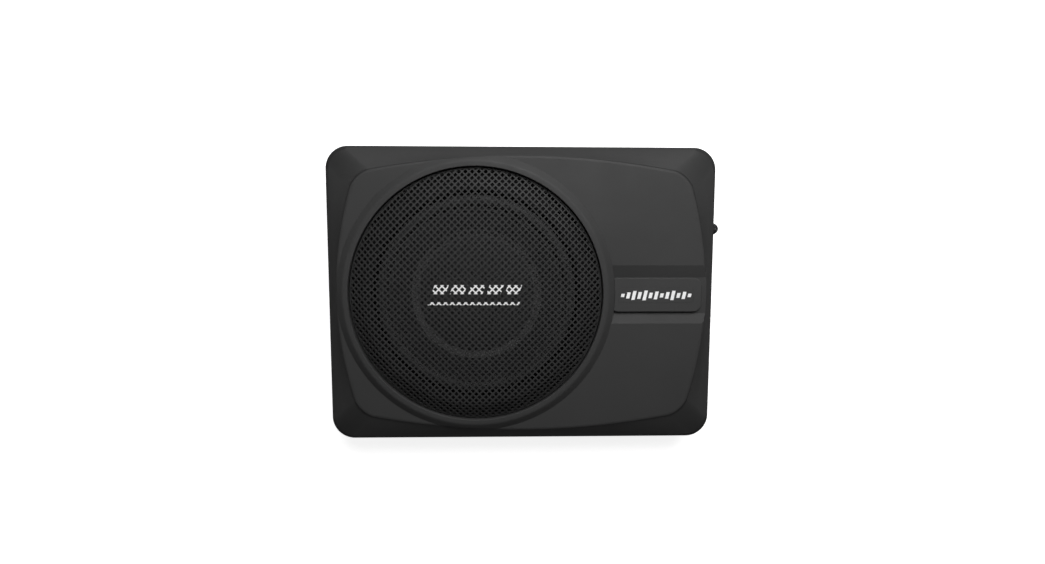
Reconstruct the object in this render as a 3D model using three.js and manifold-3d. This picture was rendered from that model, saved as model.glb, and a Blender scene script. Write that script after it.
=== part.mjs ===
// A powered under-seat car subwoofer: a low enclosure with a ten-inch shallow woofer under a domed
// grille, a badge in a recess beside it, and an amplifier whose controls and sockets are on one end.
// Millimetres, +Z up. The origin is the centre of the underside's bounding rectangle.
import * as THREE from "three";
import { mergeVertices } from "three/addons/utils/BufferGeometryUtils.js";
import Module from "manifold-3d";

const wasm = await Module();
wasm.setup();

// ---------------------------------------------------------------- driving dimensions

const GAP = 0.3; // between pieces that touch
const WALL = 3;

const LENGTH = 380; // of the enclosure, without the knob
const WIDTH = 290;
const CORNER_R = 22;
const DRAFT = 2.4; // how far the wall leans in at its foot
const FOOT_H = 3;
const BASE_T = 2;
const RIM_Z = FOOT_H + BASE_T + 2; // underside of the shell, above the base plate and its gasket
const SHOULDER_Z = 43; // where the upright wall ends
const TOP_Z = 62; // the flat top face
const TOP_HALF_X = 176.9;
const TOP_HALF_Y = 131.9;
const TOP_Y = 1.5; // the middle of the top face
const TOP_CORNER_R = 15;
const BOW_X = 0.113; // how far the ends and the long sides of the top face bow
const BOW_Y = 0.127;
const BASE_INSET = 2.6; // of the base plate, inside the shell's outline
const GASKET_INSET = 3;
const GASKET_WIDTH = 4.5;
const BASE_SCREW_X = 176.5;
const BASE_SCREW_Y = 131.5;
const BASE_HEAD_R = 3.8;
const BOSS_R = 8;
const FOOT_X = 150;
const FOOT_Y = 104;
const FOOT_R = 11.5;
const M4_R = 1.7;
const CLEAR_R = 2.05; // of a screw's hole

const DRIVER_X = -44.1;
const DRIVER_Y = 2.3;
const BORE_R = 121.5; // of the well that the driver and the grille sit in
const LIP_Z = 66.5; // top of the raised ring round the grille
const LIP_R = 126.2;
const RING_R = 133.5;
const LEDGE_Z = 54;
const LEDGE_R = 104.5;
const GRILLE_R = 120.6;
const GRILLE_Z = 72.2;
const GRILLE_EDGE_Z = 62.3;
const GRILLE_T = 1.2;
const HOOP_R = 117.8; // inside of the grille's hoop
const FLANGE_Z = LEDGE_Z + 1.6; // underside of the basket's flange
const FLANGE_T = 2;
const FLANGE_R = 119.5;
const FLANGE_TOP = FLANGE_Z + FLANGE_T;
const SEAT_Z = FLANGE_TOP + GAP; // what rests on the flange
const SCREW_CIRCLE_R = 113.8;
const SCREW_ANGLES = [45, 135, 225, 315];
const SCREW_HEAD_R = 3.2;
const SURROUND_R = 106;
const ROLL_R = 90; // middle of the surround's roll
const ROLL_HALF = 5.6;
const ROLL_H = 5.6;
const SKIN = 0.8; // of the surround and the spider
const CONE_R = 84.3;
const CONE_TOP = SEAT_Z - GAP;
const CAP_R = 56;
const CAP_Z = 52.6; // underside of the dust cap's edge
const CAP_RISE = 8;
const SPIDER_Z = 43; // top of the landing that the spider is glued to
const SPIDER_IN_R = 28;
const SPIDER_OUT_R = 58;
const PLATE_TOP = 33.6; // of the magnet's top plate
const TOP_PLATE_R = 58;
const TOP_PLATE_BORE_R = 27.6;
const MAGNET_R = 62;
const MAGNET_BORE_R = 31;
const MAGNET_LOW = 14;
const MAGNET_HIGH = 28.6;
const BACK_LOW = 9; // underside of the back plate
const BACK_R = 60;
const POLE_R = 23.5;
const VENT_R = 7; // of the hole through the pole
const COIL_R = 25; // outside of the coil former
const FORMER_LOW = 22;
const FORMER_HIGH = 49.5;
const WINDING_LOW = 25.5;
const WINDING_HIGH = 36.7;
const BOWL_R = 100.6; // outside of the basket's bowl, at the flange
const WINDOW_R = [70, 95.5]; // of the bowl's windows
const TRIM_R = [99.6, 109.8];
const TERMINAL_R = 92;

const BADGE_LOW_Y = -14.2;
const BADGE_HIGH_Y = 18.7;
const BADGE_END_X = 173.6;
const BADGE_R = 8;
const RECESS_LOW_Y = -16.1;
const RECESS_HIGH_Y = 19.1;
const RECESS_LOW_SLOPE = 9.6; // width of each sloping side of the recess
const RECESS_HIGH_SLOPE = 11.8;
const RECESS_D = 3;
const INLAY_X = 129.4;
const INLAY_Y = 1.8;
const INLAY_HALF_X = 36.2;
const INLAY_HALF_Y = 7.2;
const INLAY_D = 0.6;

const PANEL_X = 186.8; // outer face of the control panel
const PANEL_T = 2;
const PANEL_LOW_Y = -100;
const PANEL_HIGH_Y = 88;
const PANEL_LOW_Z = 10.5;
const PANEL_HIGH_Z = 39.5;
const CONTROL_Z = 25;
const LEVEL_Y = 66;
const KNOB_R = 6.3;
const KNOB_END_X = 201.4;
const CROSSOVER_Y = 44;
const BASS_Y = 24;
const PHASE_Y = 4;
const PHASE_TRAVEL = 3;
const LAMP_Y = 55;
const LAMP_Z = 29;
const LAMP_R = 1.7;
const PHONO_Y = -16;
const PHONO_PITCH = 14;
const HIGH_LEVEL_Y = -43;
const FUSE_Y = -63;
const FUSE_PITCH = 11;
const POWER_Y = -83;
const PANEL_SCREW_YS = [PANEL_LOW_Y + 4, PANEL_HIGH_Y - 4];
const BUSH_R = 3.6;
const BUSH_END = PANEL_X + 1.2;
const DIAL_R = 3.2;
const DIAL_X = PANEL_X - 0.6; // outer face of a trimmer dial
const PHONO_R = 5;
const SOCKET_DEPTH = 11;
const PIN_SETBACK = 5.5; // of a socket's contacts, behind its face
const POT_BACK = PANEL_X - PANEL_T - GAP; // front of what stands behind the panel

const BOARD_Z = 13;
const BOARD_T = 1.6;
const BOARD_LOW_X = 78;
const BOARD_HIGH_X = 176;
const BOARD_LOW_Y = -96;
const BOARD_HIGH_Y = 84;
const BOARD_TOP = BOARD_Z + BOARD_T + GAP; // what stands on the board
const POST_X = [88, 168];
const POST_Y = [-90, 78];
const POST_R = 3.5;
const SPREADER_X = 92;
const SPREADER_T = 3;

const ENCLOSURE_X = (LENGTH / 2 - KNOB_END_X) / 2; // brings the middle of the whole object to X = 0

const ROUND = 36; // sides of a large turned piece
const MIDDLE_ROUND = 24;
const SMALL_ROUND = 12;
const CORNER_STEPS = 4; // of a rounded outline
const SIDE_STEPS = 5;

// ---------------------------------------------------------------- shapes

function solidOf(geometry) {
  const loose = geometry.index ? geometry.toNonIndexed() : geometry;
  const bare = new THREE.BufferGeometry();
  bare.setAttribute("position", loose.getAttribute("position"));
  const merged = mergeVertices(bare, 1e-4);
  return new wasm.Manifold(
    new wasm.Mesh({
      numProp: 3,
      vertProperties: merged.attributes.position.array,
      triVerts: new Uint32Array(merged.index.array),
    }),
  );
}

function geometryOf(solid) {
  const { numProp, vertProperties, triVerts } = solid.getMesh();
  const positions = new Float32Array((vertProperties.length / numProp) * 3);
  for (let i = 0; i * numProp < vertProperties.length; i++)
    positions.set(vertProperties.subarray(i * numProp, i * numProp + 3), i * 3);
  const indexed = new THREE.BufferGeometry();
  indexed.setAttribute("position", new THREE.BufferAttribute(positions, 3));
  indexed.setIndex(new THREE.BufferAttribute(new Uint32Array(triVerts), 1));
  const geometry = indexed.toNonIndexed();
  geometry.computeVertexNormals();
  return geometry;
}

const cut = (body, ...tools) => tools.reduce((left, tool) => left.subtract(tool), body);
const join = (body, ...others) => others.reduce((sum, other) => sum.add(other), body);

// A turned piece on the Z axis: profile is a list of [radius, z], anticlockwise in the half plane.
function turned(profile, sides = ROUND) {
  const points = profile.map(([r, z]) => new THREE.Vector2(r, z));
  if (profile[0][0] > 0) points.push(points[0].clone());
  return new THREE.LatheGeometry(points, sides).rotateX(Math.PI / 2);
}

const disc = (radius, low, high, sides = SMALL_ROUND) =>
  turned([[0, low], [radius, low], [radius, high], [0, high]], sides);

const ring = (inner, outer, low, high, sides = ROUND) =>
  turned([[inner, low], [outer, low], [outer, high], [inner, high]], sides);

function block(x0, x1, y0, y1, z0, z1) {
  const geometry = new THREE.BoxGeometry(x1 - x0, y1 - y0, z1 - z0);
  return geometry.translate((x0 + x1) / 2, (y0 + y1) / 2, (z0 + z1) / 2);
}

// The same, given by its middle in Y and Z and its spans there.
const endBlock = (x0, x1, y, z, spanY, spanZ) =>
  block(x0, x1, y - spanY / 2, y + spanY / 2, z - spanZ / 2, z + spanZ / 2);

// A rod or tube along X, from profile points [radius, x].
const turnedAlongX = (profile, y, z, sides = SMALL_ROUND) =>
  turned(profile, sides).rotateY(Math.PI / 2).translate(0, y, z);

const rodAlongX = (radius, x0, x1, y, z, sides = SMALL_ROUND) =>
  turnedAlongX([[0, x0], [radius, x0], [radius, x1], [0, x1]], y, z, sides);

function prism(points, low, high) {
  const shape = new THREE.Shape(points.map(([x, y]) => new THREE.Vector2(x, y)));
  const depth = high - low;
  return new THREE.ExtrudeGeometry(shape, { depth, bevelEnabled: false }).translate(0, 0, low);
}

// A prism along X, from points [y, z].
const prismAlongX = (points, x0, x1) =>
  prism(points, x0, x1).applyMatrix4(
    new THREE.Matrix4().set(0, 0, 1, 0, 1, 0, 0, 0, 0, 1, 0, 0, 0, 0, 0, 1),
  );

function wire(points, radius, steps, sides = 8) {
  const path = new THREE.CatmullRomCurve3(points.map((p) => new THREE.Vector3(...p)));
  const section = new THREE.Shape();
  for (let i = 0; i < sides; i++) {
    const angle = (2 * Math.PI * i) / sides;
    const corner = [radius * Math.cos(angle), radius * Math.sin(angle)];
    if (i) section.lineTo(...corner);
    else section.moveTo(...corner);
  }
  section.closePath();
  return new THREE.ExtrudeGeometry(section, { steps, extrudePath: path });
}

// A level outline: a rounded rectangle, anticlockwise. The share bow turns it into the top face's
// outline, whose sides bow outwards and whose middle is off the enclosure's.
function outline(z, halfX, halfY, radius, bow = 0) {
  const signs = [[1, 1], [-1, 1], [-1, -1], [1, -1]];
  const points = [];
  signs.forEach(([sx, sy], corner) => {
    const start = (corner * Math.PI) / 2;
    const arc = [];
    for (let i = 0; i <= CORNER_STEPS; i++) {
      const angle = start + (i / CORNER_STEPS) * (Math.PI / 2);
      const x = sx * (halfX - radius) + radius * Math.cos(angle);
      const y = sy * (halfY - radius) + radius * Math.sin(angle);
      arc.push([x, y]);
    }
    const [nextX, nextY] = signs[(corner + 1) % 4];
    const last = arc[CORNER_STEPS];
    const along = corner % 2 === 0;
    const next = along
      ? [nextX * (halfX - radius), last[1]]
      : [last[0], nextY * (halfY - radius)];
    for (let i = 1; i < SIDE_STEPS; i++) {
      const t = i / SIDE_STEPS;
      arc.push([last[0] + t * (next[0] - last[0]), last[1] + t * (next[1] - last[1])]);
    }
    points.push(...arc);
  });
  return points.map(([x, y]) => {
    const inX = 1 - bow * BOW_X * (y / halfY) ** 2;
    const inY = 1 - bow * BOW_Y * (x / halfX) ** 2;
    return new THREE.Vector3(x * inX, y * inY + bow * TOP_Y, z);
  });
}

// A closed skin over a stack of outlines, listed from the lowest.
function loft(outlines) {
  const count = outlines[0].length;
  const points = outlines.flat();
  const low = points.length;
  const high = low + 1;
  const lastRow = low - count;
  points.push(new THREE.Vector3(0, 0, outlines[0][0].z));
  points.push(new THREE.Vector3(0, 0, outlines.at(-1)[0].z));
  const faces = [];
  for (let i = 0; i < count; i++) {
    const j = (i + 1) % count;
    for (let row = 0; row < lastRow; row += count) {
      faces.push(row + i, row + j, row + count + j);
      faces.push(row + i, row + count + j, row + count + i);
    }
    faces.push(low, j, i);
    faces.push(high, lastRow + i, lastRow + j);
  }
  const geometry = new THREE.BufferGeometry().setFromPoints(points);
  geometry.setIndex(faces);
  return geometry;
}

// A level plate with rounded corners.
const plate = (low, high, halfX, halfY, radius) =>
  loft([outline(low, halfX, halfY, radius), outline(high, halfX, halfY, radius)]);

const onCircle = (radius, degrees, z = 0) => {
  const angle = THREE.MathUtils.degToRad(degrees);
  return [radius * Math.cos(angle), radius * Math.sin(angle), z];
};

const moved = (solid, [x, y, z]) => solid.translate([x, y, z]);

// ---------------------------------------------------------------- finishes

const finish = (color, roughness, metalness = 0) =>
  new THREE.MeshStandardMaterial({ color, roughness, metalness });
const finishes = {
  shell: () => finish(0x262626, 0.55),
  badge: () => finish(0x2b2b2b, 0.5),
  inlay: () => finish(0x0d0d0e, 0.25),
  mesh: () => finish(0x232323, 0.5, 0.6),
  blackPlastic: () => finish(0x161616, 0.6),
  rubber: () => finish(0x0f0f0f, 0.85),
  foam: () => finish(0x1b1b1b, 0.95),
  paper: () => finish(0x1a1a1b, 0.8),
  cloth: () => finish(0xb08b4a, 0.9),
  blackSteel: () => finish(0x1d1d1f, 0.45, 0.7),
  zinc: () => finish(0xa9abad, 0.35, 0.9),
  ferrite: () => finish(0x2a2a2c, 0.7, 0.2),
  copper: () => finish(0xb5693a, 0.35, 0.9),
  aluminium: () => finish(0xb4b6b8, 0.4, 0.9),
  board: () => finish(0x0f4a2a, 0.5),
  gold: () => finish(0xc9a24b, 0.3, 1),
  redWire: () => finish(0x8f1d18, 0.55),
  blackWire: () => finish(0x121212, 0.55),
  fuse: () => finish(0xa34a12, 0.35),
  lamp: () => finish(0x2250b8, 0.25),
};

const model = new THREE.Group();
model.position.x = ENCLOSURE_X;
const driver = new THREE.Group();
driver.position.set(DRIVER_X, DRIVER_Y, 0);
model.add(driver);

function add(group, name, shape, look, position = [0, 0, 0]) {
  const geometry = shape.isBufferGeometry ? shape : geometryOf(shape);
  const mesh = new THREE.Mesh(geometry, finishes[look]());
  mesh.name = name;
  mesh.position.set(...position);
  group.add(mesh);
}

// ---------------------------------------------------------------- enclosure

const SIDES = [[1, 1], [-1, 1], [-1, -1], [1, -1]];
const BASE_SCREWS = SIDES.map(([sx, sy]) => [sx * BASE_SCREW_X, sy * BASE_SCREW_Y]);

// Section of the recess under the badge plate, sunk by drop and widened by grow, as [y, z].
function recessSection(drop, grow) {
  const floor = TOP_Z - RECESS_D - drop;
  const above = TOP_Z + 6;
  const rise = (above - floor) / RECESS_D;
  const low = RECESS_LOW_Y - grow;
  const high = RECESS_HIGH_Y + grow;
  return [
    [high, floor],
    [high + rise * RECESS_HIGH_SLOPE, above],
    [low - rise * RECESS_LOW_SLOPE, above],
    [low, floor],
  ];
}

// Outlines of the walls and of the top face, pulled in by inset.
const wall = (z, inset, bow = 0) =>
  outline(z, LENGTH / 2 - inset, WIDTH / 2 - inset, CORNER_R - inset, bow);
const top = (z, inset, bow = 1) =>
  outline(z, TOP_HALF_X - inset, TOP_HALF_Y - inset, TOP_CORNER_R - inset, bow);

const shellOutside = () =>
  solidOf(
    loft([
      wall(RIM_Z, DRAFT),
      wall(SHOULDER_Z, 0),
      wall(SHOULDER_Z + 2.4, 0.5),
      wall(SHOULDER_Z + 4.2, 1.5, 0.03),
      wall(SHOULDER_Z + 5.6, 2.8, 0.08),
      top(TOP_Z - 1.8, -1.3, 0.95),
      top(TOP_Z - 0.6, 0),
      top(TOP_Z, 1.8),
    ]),
  );

function shellHollow() {
  const hollow = loft([
    wall(RIM_Z - 1, DRAFT + WALL),
    wall(SHOULDER_Z, WALL),
    wall(SHOULDER_Z + 5, WALL + 2, 0.05),
    top(TOP_Z - 4, 2, 0.95),
    top(TOP_Z - WALL, 4),
  ]);
  return solidOf(hollow).subtract(recess(WALL, 1));
}

const recess = (drop, grow) =>
  solidOf(prismAlongX(recessSection(drop, grow), DRIVER_X + LIP_R, LENGTH / 2 + 5));

// The well that the driver sits in, with its ledge and the raised ring round it, which ends where the
// top face does.
function collar() {
  const profile = [
    [LEDGE_R, LEDGE_Z - WALL],
    [BORE_R + WALL, LEDGE_Z - WALL],
    [BORE_R + WALL, TOP_Z - 4],
    [RING_R - 1, TOP_Z - 4],
    [RING_R, TOP_Z],
    [LIP_R + 0.6, LIP_Z - 0.4],
    [LIP_R - 0.4, LIP_Z],
    [BORE_R + 0.5, LIP_Z],
    [BORE_R, LIP_Z - 0.5],
    [BORE_R, LEDGE_Z],
    [LEDGE_R, LEDGE_Z],
  ];
  const turnedRing = solidOf(turned(profile).translate(DRIVER_X, DRIVER_Y, 0));
  return turnedRing.intersect(solidOf(loft([top(LEDGE_Z - WALL - 1, 0.2), top(LIP_Z + 1, 0.2)])));
}

function topShell() {
  const outer = shellOutside();
  const well = solidOf(
    disc(BORE_R + 1, TOP_Z - 12, TOP_Z + 1, ROUND).translate(DRIVER_X, DRIVER_Y, 0),
  );
  const bosses = BASE_SCREWS.map(([x, y]) =>
    solidOf(disc(BOSS_R, RIM_Z, SHOULDER_Z - 4).translate(x, y, 0)).intersect(outer),
  );
  const screwHoles = BASE_SCREWS.map(([x, y]) =>
    solidOf(disc(CLEAR_R, RIM_Z - 1, RIM_Z + 12).translate(x, y, 0)),
  );
  const driverHoles = SCREW_ANGLES.map((angle) => {
    const [x, y] = onCircle(SCREW_CIRCLE_R, angle);
    const hole = disc(CLEAR_R, LEDGE_Z - 5, LEDGE_Z + 1);
    return solidOf(hole.translate(DRIVER_X + x, DRIVER_Y + y, 0));
  });
  const panelBlock = (x0, x1, marginY, lowZ, highZ) =>
    solidOf(block(x0, x1, PANEL_LOW_Y - marginY, PANEL_HIGH_Y + marginY, lowZ, highZ));
  const outside = LENGTH / 2;
  const frame = panelBlock(POT_BACK - 6, outside - 1, 5, RIM_Z + 0.5, PANEL_HIGH_Z + 3);
  const pocket = panelBlock(POT_BACK, outside + 5, 0, PANEL_LOW_Z, PANEL_HIGH_Z);
  const opening = panelBlock(POT_BACK - 10, POT_BACK + 1, -8, PANEL_LOW_Z + 2, PANEL_HIGH_Z - 2);
  const panelHoles = PANEL_SCREW_YS.map((y) =>
    solidOf(rodAlongX(CLEAR_R, POT_BACK - 4.8, POT_BACK + 1, y, CONTROL_Z)),
  );
  const skin = cut(outer, shellHollow(), recess(0, 0), well);
  const whole = join(skin, collar(), frame.intersect(outer), ...bosses);
  return cut(whole, ...screwHoles, ...driverHoles, pocket, opening, ...panelHoles);
}

function basePlate() {
  const low = FOOT_H;
  const high = FOOT_H + BASE_T;
  const halfX = LENGTH / 2 - BASE_INSET;
  const halfY = WIDTH / 2 - BASE_INSET;
  const body = solidOf(plate(low, high, halfX, halfY, CORNER_R - BASE_INSET));
  const posts = POST_X.flatMap((x) =>
    POST_Y.map((y) => solidOf(disc(POST_R, high - 1, BOARD_Z - GAP).translate(x, y, 0))),
  );
  const seatProfile = [
    [0, low - 1],
    [BASE_HEAD_R + 0.4, low - 1],
    [BASE_HEAD_R + 0.4, low],
    [CLEAR_R, high],
    [CLEAR_R, high + 1],
    [0, high + 1],
  ];
  const seats = BASE_SCREWS.map(([x, y]) =>
    solidOf(turned(seatProfile, SMALL_ROUND).translate(x, y, 0)),
  );
  return cut(join(body, ...posts), ...seats);
}

function baseGasket() {
  const low = FOOT_H + BASE_T + GAP;
  const high = RIM_Z - GAP;
  const band = (inset, bottom, top) =>
    solidOf(plate(bottom, top, LENGTH / 2 - inset, WIDTH / 2 - inset, CORNER_R - inset));
  const inner = band(GASKET_INSET + GASKET_WIDTH, low - 1, high + 1);
  return band(GASKET_INSET, low, high).subtract(inner);
}

function baseScrew() {
  const low = FOOT_H + 0.1;
  const profile = [
    [0, low],
    [BASE_HEAD_R, low],
    [M4_R, low + 2.1],
    [M4_R, low + 12.5],
    [M4_R - 1, low + 14],
    [0, low + 14],
  ];
  const socket = disc(1.4, low - 1, low + 1.3, 6);
  return solidOf(turned(profile, SMALL_ROUND)).subtract(solidOf(socket));
}

function foot() {
  const high = FOOT_H - GAP;
  const profile = [[0, 0], [FOOT_R - 1.5, 0], [FOOT_R, 0.7], [FOOT_R, high], [0, high]];
  return turned(profile, MIDDLE_ROUND);
}

const BADGE_TOP = TOP_Z + 0.4;

function badgePlate() {
  const low = TOP_Z - RECESS_D + GAP;
  const middle = (BADGE_LOW_Y + BADGE_HIGH_Y) / 2;
  const halfY = (BADGE_HIGH_Y - BADGE_LOW_Y) / 2;
  const start = DRIVER_X + RING_R - 12;
  const halfX = (BADGE_END_X - start) / 2;
  const edge = 0.7;
  const body = solidOf(
    loft([
      outline(low, halfX, halfY, BADGE_R),
      outline(BADGE_TOP - edge, halfX, halfY, BADGE_R),
      outline(BADGE_TOP, halfX - edge, halfY - edge, BADGE_R - edge),
    ]).translate(start + halfX, middle, 0),
  );
  const ringClear = solidOf(
    disc(RING_R + 1, low - 1, BADGE_TOP + 1, ROUND).translate(DRIVER_X, DRIVER_Y, 0),
  );
  const pocketX = INLAY_HALF_X + GAP;
  const pocketY = INLAY_HALF_Y + GAP;
  const pocket = solidOf(plate(BADGE_TOP - INLAY_D, BADGE_TOP + 1, pocketX, pocketY, 2));
  return cut(body, ringClear, moved(pocket, [INLAY_X, INLAY_Y, 0]));
}

function badgeInlay() {
  const low = BADGE_TOP - INLAY_D + GAP;
  const inlay = plate(low, BADGE_TOP, INLAY_HALF_X, INLAY_HALF_Y, 1.8);
  return inlay.translate(INLAY_X, INLAY_Y, 0);
}

add(model, "top_shell", topShell(), "shell");
add(model, "base_plate", basePlate(), "blackSteel");
add(model, "base_gasket", baseGasket(), "foam");
BASE_SCREWS.forEach(([x, y], i) =>
  add(model, `base_screw_${i + 1}`, baseScrew(), "blackSteel", [x, y, 0]),
);
SIDES.forEach(([sx, sy], i) =>
  add(model, `foot_${i + 1}`, foot(), "rubber", [sx * FOOT_X, sy * FOOT_Y, 0]),
);
add(model, "badge_plate", badgePlate(), "badge");
add(model, "badge_inlay", badgeInlay(), "inlay");

// ---------------------------------------------------------------- driver

function withScrewHoles(body, low, high) {
  const holes = SCREW_ANGLES.map((angle) =>
    moved(solidOf(disc(CLEAR_R, low, high)), onCircle(SCREW_CIRCLE_R, angle)),
  );
  return cut(body, ...holes);
}

// A sheet of even thickness under a line of [radius, z] points that runs outwards from the axis.
function sheetProfile(line, thickness) {
  const under = line.map(([r, z]) => [r, z - thickness]);
  return [...under, ...[...line].reverse()];
}

// The outside of the grille: a shallow dome with a sloping skirt.
const GRILLE_LINE = [
  [0, GRILLE_Z],
  [50, GRILLE_Z - 0.2],
  [95, GRILLE_Z - 0.7],
  [102, GRILLE_Z - 1],
  [106, GRILLE_Z - 1.9],
  [118.5, GRILLE_EDGE_Z + 1],
  [GRILLE_R, GRILLE_EDGE_Z],
];

const grilleMesh = () => turned(sheetProfile(GRILLE_LINE, GRILLE_T));

const grilleHoop = () => ring(HOOP_R, GRILLE_R, SEAT_Z, GRILLE_EDGE_Z - GRILLE_T - GAP);

function driverGasket() {
  const low = LEDGE_Z + GAP;
  const body = solidOf(ring(106, FLANGE_R, low, FLANGE_Z - GAP));
  return withScrewHoles(body, low - 1, FLANGE_Z + 1);
}

function basket() {
  const body = solidOf(
    turned([
      [34, PLATE_TOP + GAP],
      [62.5, PLATE_TOP + GAP],
      [66, 35],
      [84, 41],
      [BOWL_R - 1.1, 50],
      [BOWL_R, FLANGE_Z],
      [FLANGE_R, FLANGE_Z],
      [FLANGE_R, FLANGE_TOP],
      [BOWL_R - 1.8, FLANGE_TOP],
      [BOWL_R - 3, 51.6],
      [82.7, 43],
      [69, 38.6],
      [66, SPIDER_Z],
      [58.5, SPIDER_Z],
      [58.5, PLATE_TOP + GAP + 2],
      [34, PLATE_TOP + GAP + 2],
    ]),
  );
  const windows = [];
  for (let i = 0; i < 6; i++) {
    const middle = 30 + 60 * i;
    const corners = [];
    for (const turn of [-19, -9.5, 0, 9.5, 19]) corners.push(onCircle(WINDOW_R[1], middle + turn));
    for (const turn of [17, 0, -17]) corners.push(onCircle(WINDOW_R[0], middle + turn));
    windows.push(solidOf(prism(corners, PLATE_TOP, FLANGE_Z - 1.5)));
  }
  return withScrewHoles(cut(body, ...windows), FLANGE_Z - 1, FLANGE_TOP + 1);
}

// It rests on the flange outside the surround, and covers the surround's edge.
function trimRing() {
  const [inner, outer] = TRIM_R;
  const low = SEAT_Z + SKIN + GAP;
  const high = low + 3.2;
  const stepR = SURROUND_R + GAP;
  return turned([
    [inner, low],
    [stepR, low],
    [stepR, SEAT_Z],
    [outer, SEAT_Z],
    [outer, high],
    [inner, high],
  ]);
}

function surround() {
  const line = [[CONE_R - 3.5, SEAT_Z + SKIN], [ROLL_R - ROLL_HALF, SEAT_Z + SKIN]];
  const steps = 5;
  for (let i = 1; i < steps; i++) {
    const angle = Math.PI * (1 - i / steps);
    line.push([ROLL_R + ROLL_HALF * Math.cos(angle), SEAT_Z + SKIN + ROLL_H * Math.sin(angle)]);
  }
  line.push([ROLL_R + ROLL_HALF, SEAT_Z + SKIN], [SURROUND_R, SEAT_Z + SKIN]);
  const inside = line.map(([r, z], i) => {
    const onRoll = i > 1 && i < line.length - 2;
    const pull = onRoll ? SKIN / ROLL_HALF : 0;
    return onRoll ? [r + (ROLL_R - r) * pull, z - SKIN * ((z - SEAT_Z) / ROLL_H) - 0.1] : [r, z - SKIN];
  });
  return turned([...inside, ...[...line].reverse()]);
}

function cone() {
  return turned([
    [COIL_R + GAP, 45.5],
    [26.6, 45.5],
    [57.6, 50.8],
    [65, 53.7],
    [CONE_R - 2.3, CONE_TOP - 1],
    [CONE_R, CONE_TOP - 1],
    [CONE_R, CONE_TOP],
    [CONE_R - 2.6, CONE_TOP],
    [64.5, 55.2],
    [57.2, 52.3],
    [26.2, 47.5],
    [COIL_R + GAP, 47.5],
  ]);
}

function dustCap() {
  const thickness = 1;
  const sphereR = (CAP_R ** 2 + CAP_RISE ** 2) / (2 * CAP_RISE);
  const peak = CAP_Z + thickness + CAP_RISE;
  const line = [0, 0.4, 0.75, 1].map((share) => {
    const r = CAP_R * share;
    return [r, peak - sphereR + Math.sqrt(sphereR ** 2 - r ** 2)];
  });
  return turned(sheetProfile(line, thickness));
}

function spider() {
  const z = SPIDER_Z + GAP + SKIN;
  const line = [[COIL_R + GAP, z], [SPIDER_IN_R, z]];
  const folds = 6;
  const reach = SPIDER_OUT_R - SPIDER_IN_R;
  for (let i = 1; i < folds; i++) {
    const lift = i % 2 ? 1.2 : -1.2;
    line.push([SPIDER_IN_R + (reach * i) / folds, z + lift]);
  }
  line.push([SPIDER_OUT_R, z], [65.5, z]);
  return turned(sheetProfile(line, SKIN), MIDDLE_ROUND);
}

function backPlate() {
  const profile = [
    [VENT_R, BACK_LOW],
    [BACK_R - 2, BACK_LOW],
    [BACK_R, BACK_LOW + 1.5],
    [BACK_R, MAGNET_LOW],
    [POLE_R, MAGNET_LOW],
    [POLE_R, PLATE_TOP - 0.6],
    [POLE_R - 1, PLATE_TOP],
    [VENT_R, PLATE_TOP],
  ];
  return turned(profile, MIDDLE_ROUND);
}

function driverScrew() {
  const profile = [
    [0, FLANGE_TOP - 11],
    [M4_R, FLANGE_TOP - 11],
    [M4_R, SEAT_Z],
    [SCREW_HEAD_R, SEAT_Z],
    [SCREW_HEAD_R, SEAT_Z + 1.2],
    [SCREW_HEAD_R - 1, SEAT_Z + 2.2],
    [0, SEAT_Z + 2.2],
  ];
  const socket = disc(1.4, SEAT_Z + 1, SEAT_Z + 3, 6);
  return solidOf(turned(profile, SMALL_ROUND)).subtract(solidOf(socket));
}

const coilFormer = ring(COIL_R - 0.6, COIL_R, FORMER_LOW, FORMER_HIGH, MIDDLE_ROUND);
const winding = ring(COIL_R + GAP, COIL_R + 1.6, WINDING_LOW, WINDING_HIGH, MIDDLE_ROUND);
const topPlate = ring(TOP_PLATE_BORE_R, TOP_PLATE_R, MAGNET_HIGH, PLATE_TOP, MIDDLE_ROUND);
const magnet = ring(MAGNET_BORE_R, MAGNET_R, MAGNET_LOW + GAP, MAGNET_HIGH - GAP, MIDDLE_ROUND);

add(driver, "grille_mesh", grilleMesh(), "mesh");
add(driver, "grille_hoop", grilleHoop(), "blackPlastic");
add(driver, "driver_gasket", driverGasket(), "foam");
add(driver, "basket", basket(), "blackSteel");
add(driver, "trim_ring", trimRing(), "rubber");
add(driver, "surround", surround(), "rubber");
add(driver, "cone", cone(), "paper");
add(driver, "dust_cap", dustCap(), "paper");
add(driver, "spider", spider(), "cloth");
add(driver, "coil_former", coilFormer, "aluminium");
add(driver, "voice_coil", winding, "copper");
add(driver, "top_plate", topPlate, "zinc");
add(driver, "magnet", magnet, "ferrite");
add(driver, "back_plate", backPlate(), "zinc");
SCREW_ANGLES.forEach((angle, i) =>
  add(driver, `driver_screw_${i + 1}`, driverScrew(), "blackSteel", onCircle(SCREW_CIRCLE_R, angle)),
);

function terminalBlock() {
  const body = solidOf(block(TERMINAL_R, TERMINAL_R + 9, -9, 9, 36, 43.6));
  const tabs = [-5, 5].map((y) =>
    solidOf(endBlock(TERMINAL_R + 8, TERMINAL_R + 15, y, 38.4, 3.2, 0.8)),
  );
  return join(body, ...tabs);
}

// From the terminal block, through a window of the basket, to the underside of the cone.
function tinselLead(side) {
  const route = [
    [96, 9.9, 41],
    [94, 14, 40.6],
    [86, 23, 41.5],
    [79, 24, 46.5],
    [74, 23.5, 50.3],
    [69, 21.5, 52.7],
    [66, 20.4, 52.9],
  ];
  return wire(route.map(([x, y, z]) => [x, side * y, z]), 0.8, 22, 6);
}

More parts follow.
